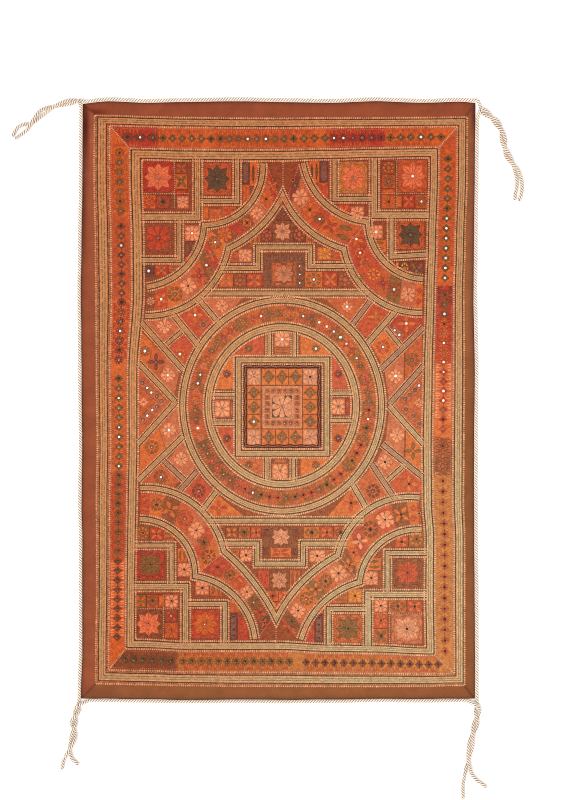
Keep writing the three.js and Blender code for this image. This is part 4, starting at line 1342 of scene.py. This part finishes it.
# %% Square patches
SQUARE_PATCHES = [
    # top left
    (142.8, 161.8, 174, 192.1, "crimson star coral dim"),
    (175.3, 162.8, 187.4, 173.5, "brown cross rust -"),
    (175.3, 174.3, 187.4, 189, "orange cross olive dim"), (175.3, 189.8, 187.4, 195.3, "red block red -"),
    (142.8, 195.3, 155.7, 208.7, "orange wheel red dim"),
    (156.3, 195.3, 169.8, 208.7, "crimson cross olive dark"),
    (170.4, 195.3, 176.3, 208.7, "brown leaves olive -"),
    (176.9, 195.9, 188.7, 208.4, "clay round salmon dim"), (203.3, 163.4, 231, 194.6, "rust star moss dim"),
    (203, 205.5, 209, 220, "red block orange -"), (209.5, 209, 221.5, 223.5, "clay round orange dim"),
    (222, 206.5, 236, 219, "rust leaves red -"), (242.5, 162, 249.2, 184, "purple block plum -"),
    (249.8, 162, 262, 186, "orange leaves moss -"), (242.5, 184.6, 250, 204, "rust cross orange -"),
    (145.3, 224.6, 170.8, 251, "brown round red dim"),
    (184.8, 225.5, 199.5, 241, "clay round salmon bright"),
    (184.8, 241.6, 196, 256, "purple leaves olive -"), (143.5, 265, 154, 277, "moss wheel purple bright"),
    (154.6, 265, 168, 276, "crimson cross orange dim"), (168.6, 265, 180, 272, "rust leaves olive -"),
    (184.8, 256.5, 192, 262, "red block orange -"),
    # top right
    (398.4, 160.5, 426.8, 192.1, "rust star coral bright"),
    (381.9, 161.5, 395.3, 174, "brown wheel orange dim"),
    (381.9, 174.6, 395.3, 188.5, "rust wheel olive dim"),
    (381.9, 189.1, 395.3, 194.9, "red block orange -"),
    (381.9, 195.5, 395.3, 208.2, "clay round orange dark"),
    (395.9, 194.9, 401.9, 208.2, "olive block orange -"),
    (402.5, 194.9, 414.7, 208.2, "crimson cross orange dim"),
    (415.3, 194.9, 427.5, 208.2, "rust wheel olive bright"),
    (339.1, 161.9, 367.2, 193.5, "gold star coral dim"), (320, 161, 327.5, 182, "purple block plum -"),
    (309, 161, 319.4, 183, "orange leaves moss -"), (318, 183, 328.5, 200, "rust cross red -"),
    (350.5, 206.5, 364, 220, "clay round salmon dim"), (337.5, 204.5, 349.9, 217, "red cross orange -"),
    (396.7, 220.9, 424, 248.9, "rust star moss dim"), (369.2, 225, 382.8, 239, "clay round salmon bright"),
    (371, 239.6, 386, 252, "orange leaves olive -"), (391, 261.5, 399.5, 272, "purple cross yellow dim"),
    (400, 261.5, 409, 276, "moss wheel yellow dim"), (409.6, 261.5, 424, 280, "purple cross olive dim"),
    # bottom left
    (134.9, 610, 162.6, 637.5, "brown star coral dark"),
    (134.9, 594.5, 146.5, 607.8, "olive cross orange -"), (147, 594.5, 158, 607.8, "rust wheel olive dark"),
    (158.5, 594.5, 164, 607.8, "crimson block orange -"),
    (164.9, 594.5, 178.3, 607.8, "clay round salmon dark"),
    (164.9, 608.5, 177.9, 622, "brown cross red dim"), (164.9, 622.6, 177.9, 638, "rust wheel orange dark"),
    (136.2, 550.7, 164, 578.4, "crimson star olive dark"),
    (177.6, 562.5, 191, 576.5, "clay round salmon dark"), (177.6, 548, 187, 562, "orange leaves olive -"),
    (191.3, 610, 219, 637.5, "red star orange dim"), (195.5, 581, 209, 595, "clay round salmon dark"),
    (209.6, 583, 222, 596, "rust leaves olive -"), (230, 613, 237.2, 640, "purple block plum -"),
    (237.8, 616, 248, 640, "crimson leaves red -"), (136, 526, 149.5, 540, "olive wheel orange dark"),
    (150, 528, 163, 540, "crimson cross orange dark"), (163.5, 531, 174, 541, "rust leaves olive -"),
    (230, 598, 240, 612.4, "rust cross orange -"),
    # bottom right
    (391.4, 613.8, 422, 643.5, "clay star rose dark"), (389, 600, 406.5, 612.6, "rust wheel olive dark"),
    (407.1, 600, 422, 612.6, "crimson cross orange dark"),
    (374, 599.5, 387.4, 612, "orange round salmon dark"), (374, 612.6, 387.6, 628, "red wheel orange dark"),
    (374, 628.6, 387.6, 643.5, "rust cross olive dark"), (393, 558.8, 422, 587, "brown star red dark"),
    (364.5, 571, 378, 585, "clay round salmon dark"), (368, 558, 381, 570.4, "orange leaves olive -"),
    (334, 614.5, 362, 642.5, "rust star olive dark"), (348.2, 589, 361.8, 602.5, "clay round yellow dark"),
    (333, 592, 347.6, 603, "rust leaves olive -"), (315, 614, 322.5, 643, "purple block plum -"),
    (303, 618, 314.4, 643, "crimson leaves red -"), (408.5, 531, 424, 547, "olive wheel orange dark"),
    (395, 536, 408, 547.5, "crimson cross orange dark"), (314, 602, 323, 613.4, "orange cross rust -"),
    # top middle
    (273, 221.2, 292.3, 242, "brown star rose dim"), (276.5, 208, 291, 220.6, "purple diamond brown dim"),
    (277, 194, 290, 207.4, "orange cross red -"), (261, 229, 272.4, 242, "purple wheel rust dim"),
    (293, 227, 305.5, 242, "purple wheel rust dim"), (250, 236, 260.4, 247, "rust leaves olive -"),
    (306.1, 232, 318, 242.5, "rust leaves olive -"), (264, 254, 304, 287.5, "brown - - -"),
    (272.5, 263, 295.5, 285, "rust star dusty dim"), (238.4, 249, 252, 262, "clay round salmon dim"),
    (317.5, 247.5, 331.5, 260, "clay round yellow dim"), (219, 273.4, 233.3, 287, "rust cross orange dim"),
    (233.9, 273.4, 246.4, 287, "brown wheel rust dim"), (247, 273.4, 262, 287, "crimson cross orange dim"),
    (305, 272, 322.5, 287, "orange wheel olive bright"),
    (323.1, 272, 337.5, 287, "crimson cross orange dim"), (338.1, 272, 352, 287, "brown wheel rust dim"),
    (204, 275, 218.4, 287.5, "red cross olive -"), (352.6, 272, 366, 287.5, "red cross olive -"),
    (332, 251, 346, 260.5, "rust leaves red -"), (223, 252, 238, 262, "rust leaves red -"),
    # bottom middle
    (270.5, 527, 291.3, 547, "brown star rose dim"), (262, 527, 269.9, 557, "brown teeth purple -"),
    (291.9, 527, 298.5, 557, "brown teeth purple -"), (270.5, 547.6, 291.3, 557, "orange cross crimson -"),
    (225.5, 526.8, 238, 538, "brown cross orange dark"), (238.6, 526.8, 250, 538, "rust wheel olive dark"),
    (250.6, 526.8, 261.4, 538, "crimson cross orange dark"),
    (304, 526.8, 319.5, 538, "orange wheel olive dark"),
    (320.1, 526.8, 333.5, 538, "crimson cross orange dark"),
    (334.1, 526.8, 347, 538, "rust wheel brown dark"), (240, 549, 252, 561.5, "clay round salmon dark"),
    (309, 549.5, 325.5, 562, "clay round salmon dark"), (226, 549, 239.4, 560, "rust leaves olive -"),
    (326.1, 549.5, 340, 560, "rust leaves olive -"), (270, 570, 289, 590.5, "brown star rose dim"),
    (258, 570, 269.4, 588, "red leaves crimson -"), (289.6, 570, 300, 588, "rust leaves brown -"),
    (267, 591.1, 278, 601, "orange wheel red dark"), (278.6, 591.1, 290, 601, "orange cross red -"),
    (270.5, 601.6, 284.5, 612, "crimson cross orange -"),
]

# Inside the medallion's square: the left and right of five columns, and the top and bottom of five rows
COLUMNS = [(247.1, 260.7), (262.1, 275.2), (275.7, 288.5), (289, 302.1), (302.9, 317.5)]
ROWS = [(368.6, 385), (385.7, 399.5), (400, 414), (414.5, 428.6), (429.3, 445)]
# Column and row of the flowers at its corners and of the diamonds between them, and the tones that aren't dim
FLOWERS = [(0, 0), (4, 0), (0, 4), (4, 4)]
DIAMONDS = [(c, r) for r in (0, 4) for c in (1, 2, 3)] + [(c, r) for c in (0, 4) for r in (1, 2, 3)]
TONES = {(4, 0): "dark", (0, 3): "bright"}
for c, r in FLOWERS + DIAMONDS:
    (x0, x1), (y0, y1) = COLUMNS[c], ROWS[r]
    what = "dusty round rose" if (c, r) in FLOWERS else "orange diamond olive"
    SQUARE_PATCHES.append((x0, y0, x1, y1, f"{what} {TONES.get((c, r), 'dim')}"))

SQUARE_PATCHES += [
    (262.1, 385.7, 302.1, 428.6, "dusty - - -"), (271.5, 395, 292.5, 418, "moss round rose dim"),
    # round the square
    (274.5, 331.5, 290, 347, "clay round salmon bright"), (274.5, 347.5, 290, 354.8, "rust leaves olive -"),
    (272, 463.5, 288, 479.3, "clay round salmon dim"), (272, 459, 288, 463, "brown block rust -"),
    (214.5, 400.5, 230, 417, "clay round salmon dim"), (230.4, 400.5, 233, 417, "brown block rust -"),
    (331.5, 398.5, 345, 414.5, "clay round salmon dim"),
    (345.5, 398.5, 350.8, 414.5, "red block crimson -"),
]
for x0, y0, x1, y1, what in SQUARE_PATCHES:
    dye, kind, motif_dye, tone = words(what)
    corners = box_of(x0, y0, x1, y1)
    patch(patches, corners, dye, rng.uniform(0, 3), line=0.4)
    u, v = (corners[1] - corners[0]) / 2, (corners[3] - corners[0]) / 2
    if kind == "leaves" and np.linalg.norm(v) > np.linalg.norm(u):
        u, v = v, -u
    size = {"round": 1.02, "star": 0.97}.get(kind, 0.9)
    line = 0.45 if kind == "star" else 0.55
    motif(motifs, kind, corners.mean(0), u, v, motif_dye, tone, line=line, size=size)
    if kind == "star":
        set_down(motifs, "arcs", corners.mean(0), u * 0.97, v * 0.97, DYES[dye] * 1.05, DYES[dye] * 0.35)

# Rows of tiny squares: first and last middle, how many, size in squares, their dye, mirror's tone
TINY_ROWS = [
    ((246, 165), (246, 181), 3, 5.6, "plum", "dim"), ((323.7, 164), (323.7, 179), 3, 5.6, "plum", "dim"),
    ((233.6, 617), (233.6, 636), 4, 5.4, "plum", "dark"),
    ((318.7, 618), (318.7, 638), 4, 5.4, "plum", "dark"),
    ((268, 258), (300, 258), 5, 5.6, "plum", "dim"), ((268.2, 266), (268.2, 283), 3, 5.6, "plum", "dim"),
    ((299.8, 266), (299.8, 283), 3, 5.6, "plum", "bright"),
    ((267.2, 391), (297, 391), 6, 5.2, "rust", "dim"), ((267.2, 423), (297, 423), 6, 5.2, "rust", "dim"),
    ((267.2, 397.4), (267.2, 416.6), 4, 5.2, "rust", "dim"),
    ((297, 397.4), (297, 416.6), 4, 5.2, "rust", "dim"),
]
for first, last, count, size, dye, tone in TINY_ROWS:
    for share in np.linspace(0, 1, count):
        place = squares(between(first, last, share))
        half = size * SQUARE_MM / 2
        motif(motifs, "block", place, (half, 0), (0, half), dye, size=0.92)
        add_mirror(place, tone, "moss", 0.62)

# %% Slanting patches at the sides
# Corners on the drawing, the same text, and the motif's middle and reach in squares
SIDE_PATCHES = [
    ([(176, 311), (199, 300), (220, 325), (199, 345)], "red cross orange bright", (195.1, 315.1), 8),
    ([(144, 322), (172, 313), (183, 330), (166, 345)], "clay round salmon dim", (164.6, 326.2), 8),
    ([(167, 345), (184, 331), (199, 346), (184, 368)], "red wheel orange bright", (180, 354), 7),
    ([(139, 329), (153, 343), (148, 369), (139, 361)], "orange wheel olive bright", (145, 351), 6),
    ([(153, 343), (166, 356.5), (160, 381), (148, 369)], "rust cross purple dim", (156, 362), 8),
    ([(166, 356.5), (180, 371), (174, 398), (160, 381)], "clay round salmon bright", (168, 375), 8),
    ([(138, 368), (173, 401), (138, 438)], "rust round salmon -", (143.6, 402), 5),
    ([(158, 426), (177, 405), (182, 434), (166, 450)], "clay round salmon bright", (169, 430), 8),
    ([(140, 446), (158, 426), (166, 450), (139, 476)], "orange wheel olive dim", (152, 447), 8),
    ([(140, 482), (163, 462), (182, 480), (160, 500), (140, 492)], "rust wheel olive bright", (161, 477), 8),
    ([(167, 460), (184, 440), (197, 471), (184, 479)], "clay round salmon dim", (181.2, 459), 8),
    ([(182, 491), (198, 473), (215, 492), (202, 509)], "red wheel purple dim", (198.8, 491), 8),
    ([(203, 298), (242, 298), (222, 325)], "clay round salmon -", (222, 306), 7),
    ([(205, 509), (217, 494), (244, 516), (208, 516)], "orange cross red -", (219, 508), 8),
    ([(324, 298), (369, 298), (352, 324)], "rust round salmon bright", (347, 306.6), 6),
    ([(372, 300), (394, 310), (368, 341), (355, 325)], "red cross orange dim", (376, 317), 8),
    ([(370, 343), (386, 329), (400, 346), (383, 367)], "orange wheel red bright", (383, 347), 8),
    ([(387, 328), (397, 312), (424, 312), (424, 326), (401, 346)],
     "crimson cross orange bright", (406.3, 323.5), 9),
    ([(422, 333), (405, 349), (405, 383), (422, 364)], "rust wheel olive dim", (412, 360), 8),
    ([(404, 350), (384, 370), (389, 402), (404, 384)], "clay round salmon bright", (395.5, 376), 8),
    ([(424, 371), (393, 405), (424, 439)], "rust round salmon -", (418.8, 402.5), 5),
    ([(389, 409), (405, 426), (404, 458), (385, 444)], "clay round salmon dim", (397, 435), 8),
    ([(406, 427), (423, 445), (421, 472), (405, 459)], "orange cross olive -", (413, 451), 8),
    ([(374, 465), (384, 446), (403, 463), (388, 480)], "clay round salmon dark", (385, 462), 8),
    ([(389, 482), (405, 466), (423, 480), (423, 497), (398, 499)], "red cross orange dark", (409, 484), 9),
    ([(355, 485), (372, 466), (393, 499), (368, 510)], "rust wheel purple dim", (373, 491), 8),
    ([(328, 516), (352, 487), (366, 510), (362, 516)], "orange cross red dark", (351, 503), 8),
]
for corners, what, middle, reach in SIDE_PATCHES:
    dye, kind, motif_dye, tone = words(what)
    patch(patches, squares(corners)[::-1], dye, rng.uniform(0, 3), line=0.4)
    tilt = 0.78
    u = np.array([math.cos(tilt), math.sin(tilt)]) * reach * SQUARE_MM
    motif(motifs, kind, squares(middle), u, np.array([-u[1], u[0]]), motif_dye, tone)

# Loose mirrors of the side patches: across, down, tone
LOOSE_MIRRORS = [
    (142.6, 382.9, "dim"), (147.5, 387.7, "bright"),
    (151.5, 392.4, "bright"), (157, 396.3, "dim"), (161.5, 401, "dim"),
    (157, 406.3, "dim"), (152.5, 409.7, "bright"), (147.5, 415.5, "bright"), (143.3, 419.6, "dim"),
    (419, 385.5, "bright"), (415, 390.2, "dim"), (409.5, 395, "dim"), (405, 399, "dim"), (406, 409.4, "dim"),
    (413.2, 416, "dim"), (419, 423.5, "dim"), (203.5, 324.6, "dim"),
    (394.6, 330.3, "bright"), (399.2, 334.9, "bright"),
]
for x, y, tone in LOOSE_MIRRORS:
    place = squares((x, y))
    motif(motifs, "block", place, (8.5, 8.5), (-8.5, 8.5), "clay", tone, ring="brown")

# %% [markdown]
# ## The medallion's patches
# Between its two ringed braids runs a ring of small patches, each with a mirror. Inside, the space between
# the inner ring and the square is cut by four pairs of short braids, and four corners are left.

# %% Medallion ring
RING_CELLS, SHINES_WITHIN = 64, 11
# The mirrors of the ring that shine
SHINING = squares([
    (263.1, 317.6), (228.2, 339.3), (200.9, 375.9), (197.9, 385),
    (199.2, 430.4), (254.8, 493.5), (304.5, 317.4),
    (321.6, 324.4), (329.5, 328.1), (336.4, 334.2), (342.6, 340.7),
    (348.7, 346.9), (356.4, 361.4), (361.2, 370.5),
    (366.6, 419.7),
])
# Where round the ring, in degrees from the right, a new length of cloth starts, and its dye
RING_GROUNDS = [(-180, "red"), (-158, "brown"), (-128, "crimson"), (-104, "rust"), (-62, "orange"),
                (-20, "rust"), (22, "orange"), (52, "red"), (92, "orange"), (150, "red")]
steps = RING_CELLS * 4
a, b = oval(RINGS[0][0] - RINGS[0][2], RINGS[0][1] - RINGS[0][2], steps), oval(*RINGS[1][:2], steps)
a, b = np.vstack([a, a[:5]]), np.vstack([b, b[:5]])
for number in range(RING_CELLS):
    t0, t1 = number * 4, number * 4 + 4
    place = (line_at(a, t0 + 2) + line_at(b, t0 + 2)) / 2
    degrees = math.degrees(math.atan2(*(place - MEDALLION)[::-1]))
    dye = [name for start, name in RING_GROUNDS if degrees >= start][-1]
    shines = np.min(np.linalg.norm(SHINING - place, axis=1)) < SHINES_WITHIN
    tone = "bright" if shines else "dark" if -115 < degrees < 0 and number % 4 else "dim"
    kinds = [("wheel", "olive"), ("diamond", "red" if dye != "red" else "orange")]
    kind, motif_dye = kinds[number // 2 % 2]
    cell(a, b, t0, t1, dye, tone=tone, ring=motif_dye, line=0.75)
    v = (line_at(b, t0 + 2) - line_at(a, t0 + 2)) / 2
    u = np.array([v[1], -v[0]]) * 0.62
    set_down(motifs, kind, place, u * 0.95, v * 0.6, DYES[motif_dye], DYES[motif_dye] * 0.6)
    joint = (line_at(a, t0) + line_at(b, t0)) / 2
    teeth_dye = DYES["rust" if number % 3 else "olive"]
    set_down(motifs, "teeth", joint, u * 0.9, v * 0.86, teeth_dye, teeth_dye * 0.6)
for share in (0.08, 0.92):
    zigzag_row(thread_work, line_in(a, b, share), DYES["salmon"])

# %% The four corners round the square, and the pairs of short braids
inner_x, inner_y = (half - RINGS[1][2] for half in RINGS[1][:2])
left, right, top_edge, bottom_edge = SQUARE
# How far from the medallion's middle the outer sides of the pairs of short braids stand,
# and how far off the square the wheels beside them lie
PAIR_X, PAIR_Y, OFF_SQUARE = 46, 42, 17
CORNER_DYES = {(-1, 1): ("red", "orange"), (1, 1): ("orange", "red"),
               (-1, -1): ("rust", "red"), (1, -1): ("orange", "rust")}


def angle_at_x(x, sign):
    """The angle at which the inner ring stands x to the right of its middle, above it or below."""
    return math.atan2(sign * math.sqrt(1 - (x / inner_x) ** 2), x / inner_x)


def angle_at_y(y, sign):
    """The angle at which the inner ring stands y above its middle, right of it or left."""
    return math.atan2(y / inner_y, sign * math.sqrt(1 - (y / inner_y) ** 2))


def arc(angle_0, angle_1):
    """Points of the inner ring's edge between two of its angles."""
    turn = np.linspace(angle_0, angle_0 + math.remainder(angle_1 - angle_0, 2 * math.pi), 9)
    return MEDALLION + np.stack([inner_x * np.cos(turn), inner_y * np.sin(turn)], 1)


for (sx, sy), (dye, other) in CORNER_DYES.items():
    corner = np.array([left if sx < 0 else right, top_edge if sy > 0 else bottom_edge])
    off = corner - MEDALLION
    start, end = angle_at_y(off[1], sx), angle_at_x(off[0], sy)
    near_x, near_y = MEDALLION + [sx * PAIR_X, sy * PAIR_Y]
    to_x, to_y = angle_at_x(sx * PAIR_X, sy), angle_at_y(sy * PAIR_Y, sx)
    patch(patches, np.vstack([corner, arc(start, end)]), "crimson", turn=1.0)
    patch(patches, np.vstack([corner, arc(end, to_x), (near_x, corner[1])]), dye, turn=2.0)
    patch(patches, np.vstack([corner, arc(start, to_y), (corner[0], near_y)]), other, turn=0.4)
    middle = (corner + arc(start, end)[4]) / 2
    u = (corner - middle) * 0.55
    motif(motifs, "round", middle, u, (-u[1], u[0]), "salmon", None)
    place = np.array([corner[0] * 0.5 + near_x * 0.5, corner[1] + sy * OFF_SQUARE])
    motif(motifs, "wheel", place, (12, 0), (0, 12), "olive", "bright" if sx > 0 and sy > 0 else "dim")
    place = np.array([corner[0] + sx * OFF_SQUARE, corner[1] * 0.45 + near_y * 0.55])
    motif(motifs, "wheel", place, (12, 0), (0, 12), "purple", "dim")

# %% [markdown]
# ## Short braids in the field
# Narrower braids part the corner blocks, step round the middle strips, and slant across the sides. Each is
# given by its width, the corners of its middle line on the drawing, and its dye where that isn't tan. The
# narrowest have smaller stitches.

# %% Short braids
SMALL_UNDER = 21
SHORT_BRAIDS = [
    (26, [(197.6, 159), (197.6, 217.2), (141, 217.2)]), (22, [(237.2, 159), (237.2, 201.2), (199, 201.2)]),
    (22, [(179.4, 219), (179.4, 260), (141, 260)]), (26, [(374.2, 158), (374.2, 215.2), (429, 215.2)]),
    (22, [(334.5, 159), (334.5, 199), (372, 199)]), (22, [(391.5, 217), (391.5, 256.7), (428, 254.5)]),
    (26, [(134, 586.5), (185.6, 586.5), (185.6, 643)]), (22, [(134, 545.4), (171.7, 545.4), (171.7, 584)]),
    (22, [(188, 603.7), (224.8, 603.7), (224.8, 643)]), (26, [(427, 594.2), (368, 594.2), (368, 646)]),
    (22, [(427, 553), (387.5, 553), (387.5, 592)]), (22, [(366, 609), (328.7, 609), (328.7, 645)]),
    (22, [(220, 268), (258, 268), (258, 247.5), (310.2, 247.5), (310.2, 266), (353, 266)]),
    (22, [(202, 293.5), (369, 293.5)]), (22, [(207, 520.6), (364, 520.6)]),
    (22, [(219, 543.5), (257.3, 543.5), (257.3, 563.5), (303, 563.5), (303, 543.5), (347, 543.5)]),
    (20, [(141, 322), (183.5, 370.3)]), (20, [(138, 362.4), (175, 401.5)]),
    (20, [(176.7, 401), (138, 443.8)]), (20, [(183.5, 436), (138, 480.4)]),
    (19, [(197, 471), (179, 491.4)], "lilac"), (19, [(163.5, 460.4), (184, 479.6)], "lilac"),
    (19, [(216.7, 491), (203, 509.4)]), (20, [(172, 313), (199.2, 346.2)]),
    (19, [(198, 298.4), (221.5, 326)]), (17, [(184, 329.4), (165.5, 345.4)]),
    (19, [(372, 298.6), (352, 325)], "lilac"), (20, [(396.5, 310), (367.5, 343.2)]),
    (17, [(386.3, 328.2), (401.4, 346.8)]), (20, [(424, 327), (380.5, 369.5)], "lilac"),
    (20, [(424, 365.2), (389, 404.4)], "lilac"), (20, [(389, 405.4), (424, 444.6)]),
    (20, [(382, 443.9), (422, 476.6)], "lilac"), (20, [(371.5, 463.7), (396.5, 501.3)], "lilac"),
    (17, [(405.2, 464.4), (386.4, 481)]), (20, [(352, 483.3), (368.2, 511.6)]),
    (18, [(269.3, 331.5), (269.3, 357)]), (18, [(294.3, 331.5), (294.3, 357)]),
    (18, [(266.9, 457), (266.9, 480.5)]), (18, [(293.4, 457), (293.4, 480.5)]),
    (18, [(212, 394.6), (235, 394.6)]), (18, [(212, 423.2), (235, 423.2)]),
    (18, [(330, 393.2), (353, 393.2)]), (18, [(330, 420.4), (353, 420.4)]),
]
tape_work, cord_work, bead_work = Work(), Work(), Work()
for width, corners, *dye in SHORT_BRAIDS:
    corners = squares(corners)
    legs = [drawn_line(ends, 6) for ends in zip(corners, corners[1:])]
    line = np.vstack([legs[0], *[leg[1:] for leg in legs[1:]]])
    a, b = sides_of(line, width)
    tape = DYES[dye[0]] if dye else None
    braid(tape_work, cord_work, bead_work, a, b, width, tape=tape, small=width < SMALL_UNDER)
finish_piece("short_braid_tape", tape_work, TAPE)
finish_piece("short_braid_dark_cords", cord_work, DARK_THREAD)
finish_piece("short_braid_stitches", bead_work, BEAD_THREAD)

# %% Maroon cords and single salmon lines
MAROON_BOX = squares([(245.3, 366.4), (319.2, 366.4), (319.2, 446.2), (245.3, 446.2)])
maroon_work = Work()
for p, q in zip(MAROON_BOX, np.roll(MAROON_BOX, -1, 0)):
    line = drawn_line((p, q), 4)
    wave = 1.1 * np.sin(np.arange(len(line)) * 0.9 + rng.uniform(0, 6))[:, None]
    for offset in (-3.3, 3.3):
        side = np.array([-(q - p)[1], (q - p)[0]]) / np.linalg.norm(q - p)
        stitch_row(maroon_work, line + wave + side * offset, DYES["maroon"], pitch=3.4, long=6.0, wide=2.6,
                   high=2.1, slant=0.2)
    stitch_row(thread_work, line + wave, DYES["rose"], pitch=3.8, long=4.4, wide=2.8, high=1.9, slant=0.3)
# Single rows of stitches, each through its corners on the drawing
SINGLE_LINES = [
    [(283, 186), (283, 160)], [(276, 627), (276, 645)], [(257.9, 199.7), (270.1, 213.5)],
    [(255.9, 201.7), (268.1, 215.5)],
    [(310.3, 199.7), (296.2, 212)], [(204, 225), (229, 248.5)], [(367.5, 222), (344, 248.5)],
    [(195, 576), (224, 551.5)], [(359.5, 582), (338, 555)],
    [(263.3, 387), (301.3, 387), (301.3, 427.5), (263.3, 427.5), (263.3, 387)],
    [(271.3, 394.8), (292.7, 394.8), (292.7, 418.2), (271.3, 418.2), (271.3, 394.8)],
    [(174.6, 161), (174.6, 208.8)], [(142, 193.7), (189, 193.7)], [(396.7, 160), (396.7, 208)],
    [(381, 193.5), (428, 193.5)], [(163.7, 594), (163.7, 639)], [(134, 608.6), (179, 608.6)],
    [(389.5, 600), (389.5, 645)], [(373, 613), (424, 613)],
]
for corners in SINGLE_LINES:
    for ends in zip(squares(corners), squares(corners[1:])):
        line = drawn_line(ends, 4)
        stitch_row(thread_work, line, DYES["bead"] * 0.95, pitch=4.6, long=5.0, wide=3.8, high=1.8)
for x0, y0, x1, y1, what in SQUARE_PATCHES:
    if words(what)[1] in ("star", "round"):
        corners = box_of(x0, y0, x1, y1)
        for ends in zip(corners, np.roll(corners, -1, 0)):
            zigzag_row(thread_work, drawn_line(ends, 4), DYES["pink"], pitch=4.6, reach=0.9, high=1.1)
finish_piece("patches", patches, EMBROIDERY)
finish_piece("patch_motifs", motifs, EMBROIDERY)
finish_piece("herringbone_and_lines", thread_work, BEAD_THREAD)
finish_piece("maroon_cords", maroon_work, BEAD_THREAD)

# %% The mirrors and their rings
# Each glass has a side down in the cloth, a slope and a low dome, and its ring a closed profile
SIDES_OF_GLASS = 10
ring_angle = np.linspace(0, 2 * np.pi, SIDES_OF_GLASS, endpoint=False)
circle = np.stack([np.cos(ring_angle), np.sin(ring_angle)], 1)


def turned_profile(profile):
    """Rings of points, from rows of radius and height."""
    return np.concatenate([np.column_stack([circle * r, np.full(SIDES_OF_GLASS, z)]) for r, z in profile])


glass = turned_profile([(MIRROR_R + 0.4, -0.2), (MIRROR_R + 0.4, 1.15), (MIRROR_R * 0.6, 1.35)])
glass = np.vstack([glass, [[0, 0, 1.42]]])
glass_faces = mound_faces(glass, SIDES_OF_GLASS)
# The ring's profile is closed: its last row meets its first. The painted shade and highlight are for each row
RING_PROFILE = [(RING_R, -0.3), (RING_R - 0.4, 1.2), (4.4, 1.95), (MIRROR_R, 1.5), (MIRROR_R, 0.9)]
RING_SHADE = np.repeat([0.35, 0.7, 1.1, 0.55, 0.4], SIDES_OF_GLASS)
ring = turned_profile(RING_PROFILE)
rows = np.arange(len(ring)).reshape(-1, SIDES_OF_GLASS)
above = np.roll(rows, -1, 0)
bands = np.stack([rows, np.roll(rows, -1, 1), np.roll(above, -1, 1), above], -1).reshape(-1, 4)
ring_faces = outwards(ring, [bands])
places = np.array([m[:2] for m in mirrors])
sizes = np.array([m[4] for m in mirrors]) * (1 + 0.07 * rng.standard_normal(len(mirrors)))
# Painted reflections: each glass gets the bright, dim or dark dye of its mirror, a little uneven
tones = np.array([DYES[m[2]] for m in mirrors]) * (1 + 0.12 * rng.standard_normal((len(mirrors), 1)))
rings = np.array([DYES[m[3]] for m in mirrors]) * (1 + 0.12 * rng.standard_normal((len(mirrors), 1)))
angles = rng.uniform(0, 6.28, len(mirrors))
matrices = turned(angles, sizes, sizes * (1 + 0.08 * rng.standard_normal(len(mirrors))))
glass_work, ring_work = Work(), Work()
foot = [0, 0, MOTIF_FOOT]
glass_work.repeat(glass + foot, glass_faces, matrices, places, np.clip(tones, 0.01, 1)[:, None])
ring_work.repeat(ring + foot, ring_faces, matrices, places, rings[:, None] * RING_SHADE[None, :, None])
finish_piece("mirrors", glass_work, MIRROR, aged=False)
finish_piece("mirror_rings", ring_work, EMBROIDERY)
print(len(mirrors), "mirrors")

# %% [markdown]
# ## Floor and light
# A near-white floor under an even white sky, with one broad soft light from the upper left that brings
# out the threads.

# %% Floor and light
floor_mesh = bpy.data.meshes.new("floor")
floor_mesh.from_pydata([(-8, -8, 0), (8, -8, 0), (8, 8, 0), (-8, 8, 0)], [], [(0, 1, 2, 3)])
floor = bpy.data.objects.new("floor", floor_mesh)
bpy.context.scene.collection.objects.link(floor)
white = bpy.data.materials.new("pale floor")
_, white_shader = nodes_of(white)
white_shader.inputs["Base Color"].default_value = (0.93, 0.93, 0.93, 1)
white_shader.inputs["Roughness"].default_value = 0.9
floor_mesh.materials.append(white)

world = bpy.data.worlds.new("studio")
bpy.context.scene.world = world
world.use_nodes = True
background = next(n for n in world.node_tree.nodes if n.type == "BACKGROUND")
background.inputs["Color"].default_value = (1, 1, 1, 1)
background.inputs["Strength"].default_value = 0.8 * STUDIO

key = bpy.data.lights.new("window light", "SUN")
key.energy = 1.15 * STUDIO
key.angle = math.radians(20)
key_object = bpy.data.objects.new("window light", key)
key_object.rotation_euler = (math.radians(20), math.radians(-14), 0)
bpy.context.scene.collection.objects.link(key_object)
bpy.context.scene.view_settings.view_transform = "Standard"
bpy.context.scene.cycles.filter_width = 1.0
bpy.context.scene.cycles.denoising_prefilter = "NONE"

# %% The end
bpy.context.view_layer.update()
